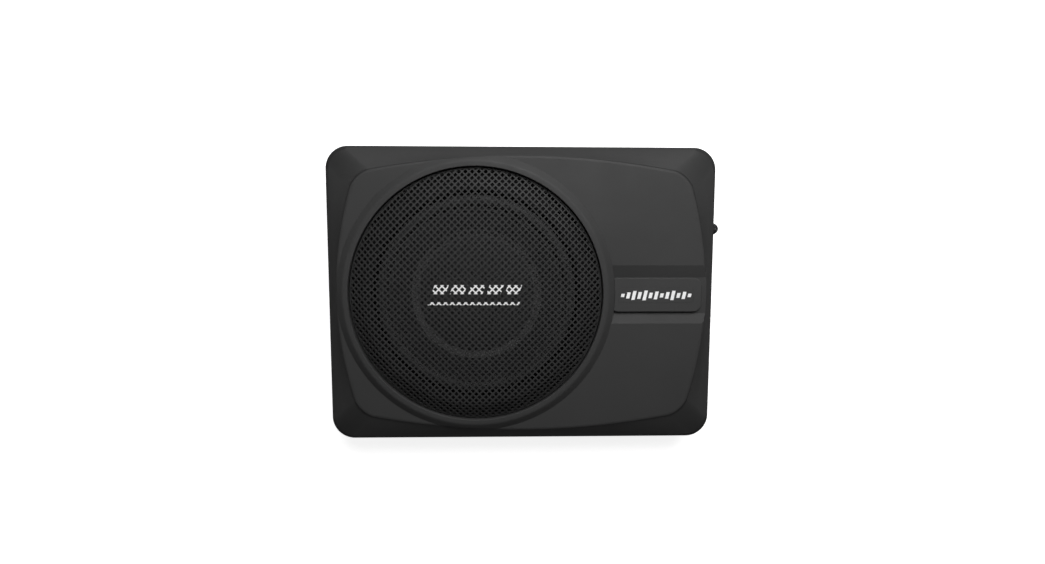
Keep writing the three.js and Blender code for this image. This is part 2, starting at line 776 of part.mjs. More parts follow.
function speakerWire(side) {
  const route = [
    [107.6, 5, 38.4],
    [112, 5, 38],
    [117, 4, 34],
    [119, 3.4, 28],
    [121, 3, 22],
    [126, 3, 19.6],
    [130.2, 3, 19.4],
  ];
  return wire(route.map(([x, y, z]) => [x, side * y, z]), 1.2, 18, 8);
}

add(driver, "terminal_block", terminalBlock(), "blackPlastic");
add(driver, "tinsel_lead_1", tinselLead(1), "copper");
add(driver, "tinsel_lead_2", tinselLead(-1), "copper");
add(driver, "speaker_wire_1", speakerWire(1), "redWire");
add(driver, "speaker_wire_2", speakerWire(-1), "blackWire");

// ---------------------------------------------------------------- amplifier

function ampBoard() {
  const board = solidOf(
    block(BOARD_LOW_X, BOARD_HIGH_X, BOARD_LOW_Y, BOARD_HIGH_Y, BOARD_Z, BOARD_Z + BOARD_T),
  );
  // Where the speaker wires end.
  const [start, end] = [DRIVER_X + 130.6, DRIVER_X + 139];
  const outlet = solidOf(block(start, end, DRIVER_Y - 7.3, DRIVER_Y + 8.5, BOARD_Z + 1, 24));
  return join(board, outlet);
}

// An angle bar that carries the heat of the power transistors.
function heatSpreader() {
  const front = SPREADER_X + SPREADER_T;
  const section = [
    [SPREADER_X, BOARD_TOP],
    [SPREADER_X + 18, BOARD_TOP],
    [SPREADER_X + 18, BOARD_TOP + SPREADER_T],
    [front, BOARD_TOP + SPREADER_T],
    [front, 42],
    [SPREADER_X, 42],
  ];
  return prism(section.map(([x, z]) => [x, -z]), -80, -30).rotateX(-Math.PI / 2);
}

function transistor(y) {
  const back = SPREADER_X + SPREADER_T + GAP;
  const legLow = BOARD_TOP + SPREADER_T + GAP;
  const legHigh = 26;
  const body = solidOf(endBlock(back, back + 4.5, y, 30, 10.2, 9));
  const tab = solidOf(endBlock(back, back + 1.3, y, 37, 10.2, 6.5));
  const legs = [-2.5, 0, 2.5].map((shift) =>
    solidOf(
      endBlock(back + 1.9, back + 2.6, y + shift, (legLow + legHigh) / 2, 0.9, legHigh - legLow),
    ),
  );
  return join(body, tab, ...legs);
}

function capacitor() {
  return turned([[0, 0], [9, 0], [9, 24.4], [8.4, 25], [0, 25]], 20);
}

function inductor() {
  return ring(6, 13, 0, 11, MIDDLE_ROUND);
}

function transformer() {
  const core = solidOf(block(-17, 17, -14, 14, 0, 24));
  const coil = solidOf(block(-12, 12, -17, 17, 4, 20));
  return join(core, coil);
}

add(model, "amp_board", ampBoard(), "board");
add(model, "heat_spreader", heatSpreader(), "aluminium");
add(model, "power_transistor_1", transistor(-68), "blackPlastic");
add(model, "power_transistor_2", transistor(-44), "blackPlastic");
add(model, "capacitor", capacitor(), "blackPlastic", [122, 54, BOARD_TOP]);
add(model, "inductor", inductor(), "copper", [126, -70, BOARD_TOP]);
add(model, "transformer", transformer(), "ferrite", [126, 8, BOARD_TOP]);

// ---------------------------------------------------------------- control panel

const HIGH_LEVEL = { y: HIGH_LEVEL_Y, spanY: 18, spanZ: 12 };
const HIGH_LEVEL_PINS = [[-5, 0], [-1.7, 0], [1.7, 0], [5, 0]]; // in Y and Z, from the middle
const POWER = { y: POWER_Y, spanY: 18, spanZ: 18 };
const POWER_PINS = [[-3.5, 3.5], [3.5, 3.5], [-3.5, -3.5], [3.5, -3.5]];

function controlPanel() {
  const body = solidOf(
    block(
      PANEL_X - PANEL_T,
      PANEL_X,
      PANEL_LOW_Y + GAP,
      PANEL_HIGH_Y - GAP,
      PANEL_LOW_Z + GAP,
      PANEL_HIGH_Z - GAP,
    ),
  );
  const through = (radius, y, z = CONTROL_Z) =>
    solidOf(rodAlongX(radius, PANEL_X - PANEL_T - 1, PANEL_X + 1, y, z));
  const opening = ({ y, spanY, spanZ }) =>
    solidOf(endBlock(PANEL_X - PANEL_T - 1, PANEL_X + 1, y, CONTROL_Z, spanY + 0.8, spanZ + 0.8));
  return cut(
    body,
    ...PANEL_SCREW_YS.map((y) => through(CLEAR_R, y)),
    through(BUSH_R + 0.4, LEVEL_Y),
    through(DIAL_R + 0.4, CROSSOVER_Y),
    through(DIAL_R + 0.4, BASS_Y),
    opening({ y: PHASE_Y, spanY: 9, spanZ: 3.4 }),
    through(LAMP_R + 0.4, LAMP_Y, LAMP_Z),
    through(PHONO_R + 0.4, PHONO_Y - PHONO_PITCH / 2),
    through(PHONO_R + 0.4, PHONO_Y + PHONO_PITCH / 2),
    opening(HIGH_LEVEL),
    opening({ y: FUSE_Y, spanY: 7, spanZ: 20 }),
    opening(POWER),
  );
}

// A body that stands on the board and reaches height above the controls' line.
const onBoard = (depth, y, spanY, height) =>
  solidOf(
    block(POT_BACK - depth, POT_BACK, y - spanY / 2, y + spanY / 2, BOARD_TOP, CONTROL_Z + height),
  );

// A rotary control's body, with a bush through the panel where bushEnd says how far it reaches.
function potBody(y, bushEnd) {
  const body = onBoard(7, y, 10, 5);
  if (!bushEnd) {
    const bore = rodAlongX(DIAL_R + GAP, POT_BACK - 2, POT_BACK + 1, y, CONTROL_Z);
    return body.subtract(solidOf(bore));
  }
  const bush = solidOf(rodAlongX(BUSH_R, POT_BACK - 1, bushEnd, y, CONTROL_Z));
  const bore = solidOf(rodAlongX(1.8, POT_BACK - 4, bushEnd + 1, y, CONTROL_Z));
  return join(body, bush).subtract(bore);
}

function levelKnob() {
  const skirtR = KNOB_R + 0.5;
  const start = BUSH_END + GAP;
  const profile = [
    [0, start],
    [skirtR, start],
    [skirtR, start + 1],
    [KNOB_R, start + 1.6],
    [KNOB_R - 0.7, KNOB_END_X - 4.5],
    [KNOB_R - 1.4, KNOB_END_X - 3.1],
    [KNOB_R - 2.6, KNOB_END_X - 1.7],
    [KNOB_R - 4.2, KNOB_END_X - 0.6],
    [0, KNOB_END_X],
  ];
  const body = solidOf(turnedAlongX(profile, LEVEL_Y, CONTROL_Z, MIDDLE_ROUND));
  const shaft = solidOf(rodAlongX(1.5, POT_BACK - 3.7, start + 1, LEVEL_Y, CONTROL_Z));
  const mark = endBlock(KNOB_END_X - 5, KNOB_END_X, LEVEL_Y, CONTROL_Z + KNOB_R, 0.9, 3.2);
  return join(body, shaft).subtract(solidOf(mark));
}

// A trimmer's dial, turned with a screwdriver through the panel.
function trimDial(y) {
  const body = solidOf(rodAlongX(DIAL_R, POT_BACK - 2 + GAP, DIAL_X, y, CONTROL_Z));
  const slot = solidOf(endBlock(DIAL_X - 1.2, DIAL_X + 1, y, CONTROL_Z, 1, 2 * DIAL_R - 1.2));
  return body.subtract(slot);
}

function phaseSwitch() {
  const track = endBlock(POT_BACK - 3, POT_BACK + 1, PHASE_Y, CONTROL_Z, 7.4, 2.8);
  return onBoard(7, PHASE_Y, 13, 3).subtract(solidOf(track));
}

function phaseSlider() {
  const middle = PHASE_Y - PHASE_TRAVEL / 2;
  return endBlock(POT_BACK - 2.6, PANEL_X + 1.6, middle, CONTROL_Z, 3.6, 2.2);
}

function socketBlock({ y, spanY, spanZ }, pins) {
  const front = PANEL_X + 0.6;
  const back = front - SOCKET_DEPTH - 3;
  const inside = front - SOCKET_DEPTH;
  const middle = (BOARD_TOP + CONTROL_Z) / 2;
  const body = solidOf(endBlock(back, front, y, CONTROL_Z, spanY, spanZ));
  const leg = solidOf(endBlock(back, back + 6, y, middle, spanY - 4, CONTROL_Z - BOARD_TOP));
  const pocket = solidOf(endBlock(inside, front + 1, y, CONTROL_Z, spanY - 3, spanZ - 3));
  const contacts = pins.map(([dy, dz]) =>
    solidOf(endBlock(inside - 1, front - PIN_SETBACK, y + dy, CONTROL_Z + dz, 1.2, 1.2)),
  );
  return join(cut(join(body, leg), pocket), ...contacts);
}

function phonoPair() {
  const inside = POT_BACK - 6;
  const end = PANEL_X + 8.8;
  const boreR = 1.6;
  const barrelR = 4.15;
  const barrel = [
    [boreR, inside],
    [PHONO_R, inside],
    [PHONO_R, PANEL_X + 1],
    [barrelR, PANEL_X + 1],
    [barrelR, end - 0.4],
    [barrelR - 0.35, end],
    [boreR, end],
  ];
  const ys = [PHONO_Y - PHONO_PITCH / 2, PHONO_Y + PHONO_PITCH / 2];
  const barrels = ys.map((y) => solidOf(turnedAlongX(barrel, y, CONTROL_Z)));
  const bores = ys.map((y) => solidOf(rodAlongX(boreR, inside, end + 1, y, CONTROL_Z)));
  return cut(join(onBoard(9, PHONO_Y, 27, 6), ...barrels), ...bores);
}

function fuseHolder() {
  const back = POT_BACK - 10;
  const middle = (BOARD_TOP + CONTROL_Z) / 2;
  const body = solidOf(endBlock(back, PANEL_X + 0.6, FUSE_Y, CONTROL_Z, 7, 20));
  const leg = solidOf(endBlock(back, back + 5, FUSE_Y, middle, 5, CONTROL_Z - BOARD_TOP));
  const pocket = solidOf(endBlock(PANEL_X - 9, PANEL_X + 2, FUSE_Y, CONTROL_Z, 4.6, 17.6));
  return join(body, leg).subtract(pocket);
}

function bladeFuse() {
  const cap = solidOf(endBlock(PANEL_X - 4, PANEL_X + 3, FUSE_Y, CONTROL_Z, 4, 17));
  const blades = [-0.5, 0.5].map((side) =>
    solidOf(
      endBlock(PANEL_X - 8.7, PANEL_X - 3, FUSE_Y, CONTROL_Z + side * FUSE_PITCH, 0.8, 4.6),
    ),
  );
  return join(cap, ...blades);
}

function panelScrew(y) {
  const seat = PANEL_X + GAP;
  const profile = [
    [0, POT_BACK - 4.4],
    [M4_R, POT_BACK - 4.4],
    [M4_R, seat],
    [SCREW_HEAD_R, seat],
    [SCREW_HEAD_R, seat + 0.9],
    [SCREW_HEAD_R - 0.9, seat + 1.7],
    [0, seat + 1.7],
  ];
  const arms = [[2.8, 0.7], [0.7, 2.8]].map(([spanY, spanZ]) =>
    solidOf(endBlock(seat + 0.7, seat + 3, y, CONTROL_Z, spanY, spanZ)),
  );
  return cut(solidOf(turnedAlongX(profile, y, CONTROL_Z)), ...arms);
}

function powerLamp() {
  const profile = [
    [0, POT_BACK - 6],
    [LAMP_R, POT_BACK - 6],
    [LAMP_R, PANEL_X + 0.2],
    [LAMP_R - 0.6, PANEL_X + 0.9],
    [0, PANEL_X + 1.1],
  ];
  return turnedAlongX(profile, LAMP_Y, LAMP_Z);
}

add(model, "control_panel", controlPanel(), "blackSteel");
PANEL_SCREW_YS.forEach((y, i) => add(model, `panel_screw_${i + 1}`, panelScrew(y), "blackSteel"));
add(model, "level_pot", potBody(LEVEL_Y, BUSH_END), "zinc");
add(model, "level_knob", levelKnob(), "blackPlastic");
add(model, "crossover_pot", potBody(CROSSOVER_Y), "zinc");
add(model, "crossover_dial", trimDial(CROSSOVER_Y), "blackPlastic");
add(model, "bass_pot", potBody(BASS_Y), "zinc");
add(model, "bass_dial", trimDial(BASS_Y), "blackPlastic");
add(model, "phase_switch", phaseSwitch(), "zinc");
add(model, "phase_slider", phaseSlider(), "blackPlastic");
add(model, "phono_sockets", phonoPair(), "gold");
add(model, "high_level_socket", socketBlock(HIGH_LEVEL, HIGH_LEVEL_PINS), "blackPlastic");
add(model, "power_socket", socketBlock(POWER, POWER_PINS), "blackPlastic");
add(model, "fuse_holder", fuseHolder(), "blackPlastic");
add(model, "blade_fuse", bladeFuse(), "fuse");
add(model, "power_lamp", powerLamp(), "lamp");

export default model;
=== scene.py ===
import math

import bmesh
import bpy
import numpy as np
from mathutils import Matrix, Vector


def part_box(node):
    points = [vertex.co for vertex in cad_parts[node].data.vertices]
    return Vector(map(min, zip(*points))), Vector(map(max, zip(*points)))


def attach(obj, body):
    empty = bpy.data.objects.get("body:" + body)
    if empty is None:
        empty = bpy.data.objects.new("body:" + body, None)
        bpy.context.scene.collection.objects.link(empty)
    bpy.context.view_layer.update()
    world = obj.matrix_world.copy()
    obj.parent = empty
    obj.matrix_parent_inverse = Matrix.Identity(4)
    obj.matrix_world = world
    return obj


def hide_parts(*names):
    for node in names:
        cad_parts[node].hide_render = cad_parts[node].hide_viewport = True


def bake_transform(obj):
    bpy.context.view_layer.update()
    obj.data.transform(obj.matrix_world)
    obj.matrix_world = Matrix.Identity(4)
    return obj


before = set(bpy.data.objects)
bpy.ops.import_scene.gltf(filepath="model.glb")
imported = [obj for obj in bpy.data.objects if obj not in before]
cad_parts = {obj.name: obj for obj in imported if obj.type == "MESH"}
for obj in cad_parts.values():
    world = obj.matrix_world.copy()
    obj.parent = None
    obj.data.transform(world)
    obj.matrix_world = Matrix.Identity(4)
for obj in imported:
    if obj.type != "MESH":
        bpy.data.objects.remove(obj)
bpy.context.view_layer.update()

# ------------------------------------------------------------------ places and sizes, in millimetres

MM = 0.001


def node_box(node):
    """Lowest and highest corner of a CAD node, in millimetres."""
    low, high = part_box(node)
    return low / MM, high / MM


def middle_of(node):
    """The middle of a CAD node's box, in millimetres."""
    low, high = node_box(node)
    return (low + high) / 2


SHELL_LOW, SHELL_HIGH = node_box("top_shell")
CENTRE_X = (SHELL_LOW.x + SHELL_HIGH.x) / 2
HALF_X = (SHELL_HIGH.x - SHELL_LOW.x) / 2
HALF_Y = (SHELL_HIGH.y - SHELL_LOW.y) / 2
RIM_Z = SHELL_LOW.z
LIP_Z = SHELL_HIGH.z
CORNER_R = 22
DRAFT = 2.4 # how far the walls lean in at their foot
WALL = 3
SHOULDER_Z = 43
TOP_Z = LIP_Z - 4.5
TOP_HALF_X = 176.9
TOP_HALF_Y = 131.9
TOP_Y = 1.5
TOP_CORNER_R = 15
BOW_X = 0.113 # share by which the top face is narrower at its corners
BOW_Y = 0.127

GRILLE_LOW, GRILLE_HIGH = node_box("grille_mesh")
DRIVER = (GRILLE_LOW + GRILLE_HIGH) / 2
DRIVER_X = DRIVER.x
DRIVER_Y = DRIVER.y
AXIS = (DRIVER_X, DRIVER_Y)
GRILLE_R = (GRILLE_HIGH.x - GRILLE_LOW.x) / 2
GRILLE_Z = GRILLE_HIGH.z
GRILLE_T = 1.2
BORE_R = GRILLE_R + 0.9
LIP_R = BORE_R + 4.7
RING_R = BORE_R + 12
LEDGE_R = 104.5 # inner edge of the ledge that carries the driver
FLANGE_LOW = node_box("basket")[1].z - 2
FLANGE_TOP = FLANGE_LOW + 2
LEDGE_Z = FLANGE_LOW - 1.6
SEAT_Z = FLANGE_TOP + 0.3 # underside of the surround
CONE_STEP_R = 62.8
SCREW_HOLE_R = 2.05

BADGE_LOW, BADGE_HIGH = node_box("badge_plate")
RECESS_D = 3
RECESS_LOW_Y = -16.1
RECESS_HIGH_Y = 19.1
RECESS_LOW_SLOPE = 9.6
RECESS_HIGH_SLOPE = 11.8
INLAY_LOW, INLAY_HIGH = node_box("badge_inlay")

PANEL_LOW, PANEL_HIGH = node_box("control_panel")
PANEL_X = PANEL_HIGH.x
KNOB_LOW, KNOB_HIGH = node_box("level_knob")
CONTROL_Z = (KNOB_LOW.z + KNOB_HIGH.z) / 2

ROUND = 192 # sides of the large turned parts

# ------------------------------------------------------------------ camera, lights and floor


def add_object(name, data):
    """Puts a mesh, a light or a camera into the scene."""
    made = bpy.data.objects.new(name, data)
    bpy.context.scene.collection.objects.link(made)
    return made


def make_camera():
    """The viewpoint: close above the middle, a little to the far side, looking down and slightly back."""
    focal_pixels, photo_pixels = 560, 1045
    data = bpy.data.cameras.new("camera")
    data.sensor_width = 36
    data.lens = 36 * focal_pixels / photo_pixels
    data.clip_start = 0.01
    data.clip_end = 20
    camera = add_object("camera", data)
    camera.location = (MM * (CENTRE_X - 13.3), MM * 64.25, MM * 596.5)
    camera.rotation_euler = [math.radians(turn) for turn in (-5.289, -1.43, 0.133)]
    bpy.context.scene.camera = camera


def area_light(name, place, target, size, power):
    data = bpy.data.lights.new(name, "AREA")
    data.shape = "RECTANGLE"
    data.size, data.size_y = size
    data.energy = power
    light = add_object(name, data)
    light.visible_camera = False
    light.location = place
    light.rotation_euler = (Vector(target) - Vector(place)).to_track_quat("-Z", "Y").to_euler()


def make_world():
    """A dim studio, lighter below as a pale floor makes it, that the camera sees as a white backdrop."""
    world = bpy.data.worlds.new("studio")
    bpy.context.scene.world = world
    world.use_nodes = True
    tree = world.node_tree
    dim = tree.nodes["Background"]
    dim.inputs["Color"].default_value = (1, 1, 1, 1)
    direction = tree.nodes.new("ShaderNodeTexCoord").outputs["Generated"]
    parts = tree.nodes.new("ShaderNodeSeparateXYZ")
    tree.links.new(direction, parts.inputs["Vector"])
    level = tree.nodes.new("ShaderNodeMapRange")
    level.inputs["From Min"].default_value = -0.3
    level.inputs["From Max"].default_value = 0.0
    level.inputs["To Min"].default_value = 0.14
    level.inputs["To Max"].default_value = 0.085
    tree.links.new(parts.outputs["Z"], level.inputs["Value"])
    tree.links.new(level.outputs["Result"], dim.inputs["Strength"])
    white = tree.nodes.new("ShaderNodeBackground")
    white.inputs["Color"].default_value = (1, 1, 1, 1)
    choice = tree.nodes.new("ShaderNodeMixShader")
    tree.links.new(tree.nodes.new("ShaderNodeLightPath").outputs["Is Camera Ray"], choice.inputs[0])
    tree.links.new(dim.outputs["Background"], choice.inputs[1])
    tree.links.new(white.outputs["Background"], choice.inputs[2])
    tree.links.new(choice.outputs["Shader"], tree.nodes["World Output"].inputs["Surface"])


def make_lights():
    """One large key light beyond the far side, and two weak ones that only show from the sides."""
    area_light("key", (0.12, 0.58, 0.72), (0, 0, 0.06), (0.8, 0.6), 9.6)
    area_light("side", (1.1, 0.35, 0.35), (0.1, 0, 0.03), (0.7, 0.5), 0.4)
    area_light("back", (-1.1, 0.35, 0.35), (0, 0, 0.03), (0.7, 0.5), 0.35)


def make_floor():
    """A pale floor that is bright to the camera and casts no light on the object."""
    reach = 6
    mesh = bpy.data.meshes.new("floor")
    mesh.from_pydata([(-reach, -reach, 0), (reach, -reach, 0), (reach, reach, 0), (-reach, reach, 0)], [],
                     [(0, 1, 2, 3)])
    floor = add_object("floor", mesh)
    floor.visible_diffuse = False
    floor.visible_glossy = False
    pale = bpy.data.materials.new("pale_floor")
    pale.use_nodes = True
    surface = pale.node_tree.nodes["Principled BSDF"]
    surface.inputs["Base Color"].default_value = (0.8, 0.8, 0.8, 1)
    surface.inputs["Roughness"].default_value = 0.9
    surface.inputs["Specular IOR Level"].default_value = 0.1
    surface.inputs["Emission Color"].default_value = (1, 1, 1, 1)
    surface.inputs["Emission Strength"].default_value = 0.82
    mesh.materials.append(pale)


make_camera()
make_world()
make_lights()
make_floor()
bpy.context.scene.view_settings.view_transform = "Standard"

# ------------------------------------------------------------------ materials


class Look:
    """A Principled material whose detail is added step by step, in the object's own coordinates."""

    def __init__(self, name, colour, roughness, metallic=0.0, specular=0.5):
        self.material = bpy.data.materials.new(name)
        self.material.use_nodes = True
        self.tree = self.material.node_tree
        self.surface = self.tree.nodes["Principled BSDF"]
        self.colour = colour
        self.set("Base Color", (*colour, 1))
        self.set("Roughness", roughness)
        self.set("Metallic", metallic)
        self.set("Specular IOR Level", specular)
        self.place = self.node("ShaderNodeTexCoord").outputs["Object"]
        self.height = None

    def set(self, socket, value):
        self.surface.inputs[socket].default_value = value
        return self

    def node(self, kind, **values):
        made = self.tree.nodes.new(kind)
        for key, value in values.items():
            setattr(made, key, value)
        return made

    def link(self, source, target):
        self.tree.links.new(source, target)

    def maths(self, operation, first, second=None, third=None):
        made = self.node("ShaderNodeMath", operation=operation)
        for i, value in enumerate((first, second, third)):
            if value is None:
                continue
            if isinstance(value, (int, float)):
                made.inputs[i].default_value = value
            else:
                self.link(value, made.inputs[i])
        return made.outputs[0]

    def noise(self, size, detail=2.0, stretch=(1, 1, 1)):
        """A noise whose features are about size millimetres across."""
        source = self.place
        if stretch != (1, 1, 1):
            mapping = self.node("ShaderNodeMapping")
            mapping.inputs["Scale"].default_value = stretch
            self.link(source, mapping.inputs["Vector"])
            source = mapping.outputs["Vector"]
        texture = self.node("ShaderNodeTexNoise")
        texture.inputs["Scale"].default_value = 1 / (size * MM)
        texture.inputs["Detail"].default_value = detail
        self.link(source, texture.inputs["Vector"])
        return texture.outputs["Fac"]

    def split(self, vector):
        """The X, Y and Z of a vector."""
        parts = self.node("ShaderNodeSeparateXYZ")
        self.link(vector, parts.inputs["Vector"])
        return [parts.outputs[axis] for axis in "XYZ"]

    def mapped(self, value, start, end, low=0.0, high=1.0):
        """Turns start to end into low to high, and stays there beyond them."""
        made = self.node("ShaderNodeMapRange")
        made.inputs["From Min"].default_value = start
        made.inputs["From Max"].default_value = end
        made.inputs["To Min"].default_value = low
        made.inputs["To Max"].default_value = high
        self.link(value, made.inputs["Value"])
        return made.outputs["Result"]

    def spread(self, factor, low, high):
        """Opens out a noise, most of which lies near the middle, to the range from low to high."""
        return self.mapped(factor, 0.3, 0.7, low, high)

    def shade(self, factor, amount):
        """Lets the colour vary by amount each way."""
        mix = self.node("ShaderNodeMix", data_type="RGBA")
        for socket, share in (("A", 1 - amount), ("B", 1 + amount)):
            mix.inputs[socket].default_value = (*[c * share for c in self.colour], 1)
        return self.show(mix, self.spread(factor, 0, 1))

    def paint(self, mask, colour):
        """Lays another colour over what is there, where mask is 1."""
        mix = self.node("ShaderNodeMix", data_type="RGBA")
        self.link(self.shown, mix.inputs["A"])
        mix.inputs["B"].default_value = (*colour, 1)
        return self.show(mix, mask)

    def show(self, mix, factor):
        """Makes a mix of two colours the surface's colour."""
        self.link(factor, mix.inputs["Factor"])
        self.shown = mix.outputs["Result"]
        self.link(self.shown, self.surface.inputs["Base Color"])
        return self

    def gloss(self, factor, low, high):
        self.link(self.spread(factor, low, high), self.surface.inputs["Roughness"])
        return self

    def relief(self, factor, depth, strength=1.0):
        """Adds a bump of depth millimetres to those already there."""
        bump = self.node("ShaderNodeBump")
        bump.inputs["Strength"].default_value = strength
        bump.inputs["Distance"].default_value = depth * MM
        self.link(factor, bump.inputs["Height"])
        if self.height is not None:
            self.link(self.height, bump.inputs["Normal"])
        self.height = bump.outputs["Normal"]
        self.link(self.height, self.surface.inputs["Normal"])
        return self

    def radius(self):
        """Distance from the driver's axis."""
        across, along, _ = self.split(self.place)
        x = self.maths("SUBTRACT", across, DRIVER_X * MM)
        y = self.maths("SUBTRACT", along, DRIVER_Y * MM)
        square = self.maths("ADD", self.maths("MULTIPLY", x, x), self.maths("MULTIPLY", y, y))
        return self.maths("SQRT", square)

    def normal(self, kind="Normal"):
        """The X, Y and Z of the direction that the surface faces."""
        return self.split(self.node("ShaderNodeNewGeometry").outputs[kind])


def moulded_look(name, colour, low, high, grain=0.45, depth=0.03):
    """Spark-textured moulding: a fine grain, broad soft patches of gloss, and faint handling marks."""
    look = Look(name, colour, (low + high) / 2, specular=0.3)
    look.shade(look.noise(70, 3), 0.05)
    look.gloss(look.noise(22, 4), low, high)
    look.relief(look.noise(grain, 3), depth, 0.5)
    look.relief(look.noise(9, 2), 0.02, 0.3)
    return look


def moulded_plastic(*values, **texture):
    return moulded_look(*values, **texture).material


def corner_shade_mask(look):
    """Mask of painted shade: 1 on the slopes below the top face where they turn the enclosure's corners, and
    0 elsewhere.
    """
    facing_x, facing_y, _ = look.normal()
    height = look.split(look.place)[2]
    diagonal = look.maths("ABSOLUTE", look.maths("MULTIPLY", facing_x, facing_y))
    turned = look.maths("MULTIPLY", look.maths("SUBTRACT", diagonal, 0.025), 18)
    turned = look.maths("MINIMUM", look.maths("MAXIMUM", turned, 0), 1)
    above = look.mapped(height, SHOULDER_Z * MM, (SHOULDER_Z + 6) * MM)
    below = look.maths("LESS_THAN", height, (TOP_Z - 0.1) * MM)
    return look.maths("MULTIPLY", turned, look.maths("MULTIPLY", above, below))


def shell_plastic():
    """The enclosure's moulding, with painted shade that darkens the slopes at its corners."""
    look = moulded_look("shell_moulding", (0.036, 0.036, 0.036), 0.6, 0.68)
    # painted shade: the corner slopes are painted towards near-black
    look.paint(look.maths("MULTIPLY", corner_shade_mask(look), 0.72), (0.008, 0.008, 0.008))
    return look.material


def powder_coat(name, colour, roughness=0.5, specular=0.5):
    look = Look(name, colour, roughness, specular=specular)
    look.shade(look.noise(30, 2), 0.08)
    look.gloss(look.noise(6, 3), roughness - 0.06, roughness + 0.06)
    look.relief(look.noise(0.5, 2), 0.025, 0.6)
    return look.material


def rubber(name, colour=(0.012, 0.012, 0.012), roughness=0.62, specular=0.35):
    look = Look(name, colour, roughness, specular=specular)
    look.shade(look.noise(14, 3), 0.18)
    look.gloss(look.noise(5, 4), roughness - 0.08, roughness + 0.1)
    look.relief(look.noise(0.8, 3), 0.02, 0.5)
    return look.material


def pressed_paper(name, colour, painted_light_radius=0.0):
    """Felted fibres, pressed: a coarse mat of short bright strands on a matt ground. The cone's step outside
    the dust cap is painted paler out to the given radius: painted light on that slope."""
    look = Look(name, colour, 0.85, specular=0.2)
    fibres = look.noise(0.9, 6, (1, 1, 0.4))
    look.shade(fibres, 0.35)
    if painted_light_radius:
        # painted light: the cone is painted paler within the given radius
        look.paint(look.maths("LESS_THAN", look.radius(), painted_light_radius * MM), (0.1, 0.1, 0.101))
    look.gloss(look.noise(3, 4), 0.78, 0.92)
    look.relief(fibres, 0.08, 0.7)
    return look.material


def woven(name, colour, pitch=0.9):
    look = Look(name, colour, 0.8, specular=0.3)
    look.shade(look.noise(4, 3), 0.2)
    threads = []
    for turn in (0.6, -0.6):
        wave = look.node("ShaderNodeTexWave", wave_type="BANDS")
        wave.inputs["Scale"].default_value = 1 / (pitch * MM) / 6.3
        wave.inputs["Distortion"].default_value = 0.5
        mapping = look.node("ShaderNodeMapping")
        mapping.inputs["Rotation"].default_value = (0, 0, turn)
        look.link(look.place, mapping.inputs["Vector"])
        look.link(mapping.outputs["Vector"], wave.inputs["Vector"])
        threads.append(wave.outputs["Fac"])
    look.relief(look.maths("MAXIMUM", *threads), 0.15, 0.8)
    return look.material


def metal(name, colour, roughness, stretch=(1, 1, 1), metallic=1.0):
    """Bare or plated metal, with fine drawn lines along the axis that stretch squeezes."""
    look = Look(name, colour, roughness, metallic=metallic)
    look.shade(look.noise(8, 4), 0.1)
    look.gloss(look.noise(1.5, 4, stretch), roughness - 0.08, roughness + 0.1)
    look.relief(look.noise(0.6, 3, stretch), 0.01, 0.5)
    return look.material


def gloss_plastic(name, colour, roughness=0.16, transmission=0.0):
    look = Look(name, colour, roughness)
    look.shade(look.noise(12, 3), 0.06)
    look.gloss(look.noise(7, 4), roughness - 0.05, roughness + 0.07)
    look.relief(look.noise(6, 2), 0.01, 0.2)
    if transmission:
        look.set("Transmission Weight", transmission)
    return look.material


def circuit_board():
    look = Look("board_laminate", (0.012, 0.075, 0.03), 0.35)
    traces = look.node("ShaderNodeTexBrick")
    traces.inputs["Scale"].default_value = 110
    traces.inputs["Mortar Size"].default_value = 0.03
    look.link(look.place, traces.inputs["Vector"])
    look.shade(look.noise(3, 2), 0.2)
    look.paint(traces.outputs["Fac"], (0.02, 0.16, 0.06))
    look.relief(traces.outputs["Fac"], 0.05, 0.5)
    return look.material


PRINT_WIDE = 86
PRINT_LEAN = 0.35


def print_row(look, low, high, count, share):
    """A row of count slanted blocks between two heights; share is how much of each step is block."""
    x, y, _ = look.split(look.place)
    slant = look.maths("MULTIPLY_ADD", y, -PRINT_LEAN, x)
    start = (DRIVER_X - PRINT_WIDE / 2) * MM
    along = look.maths("DIVIDE", look.maths("SUBTRACT", slant, start), PRINT_WIDE * MM)
    mask = look.maths("LESS_THAN", look.maths("FRACT", look.maths("MULTIPLY", along, count)), share)
    for value, least, most in ((along, 0, 1), (y, low * MM, high * MM)):
        mask = look.maths("MULTIPLY", mask, look.maths("GREATER_THAN", value, least))
        mask = look.maths("MULTIPLY", mask, look.maths("LESS_THAN", value, most))
    return mask


def printed_mesh():
    """Powder-coated steel sheet, with a row of blocks and a line below it printed on its outside."""
    look = Look("grille_coat", (0.029, 0.029, 0.029), 0.6, specular=0.23)
    look.shade(look.noise(30, 2), 0.08)
    look.gloss(look.noise(5, 3), 0.56, 0.66)
    outward = look.maths("GREATER_THAN", look.normal("True Normal")[2], 0.7)
    motif = look.maths("MAXIMUM", print_row(look, 4.2, 12.8, 5, 0.78), print_row(look, -6.2, -3.4, 1, 1))
    look.paint(look.maths("MULTIPLY", motif, outward), (0.8, 0.8, 0.8))
    look.relief(look.noise(0.5, 2), 0.02, 0.5)
    return look.material


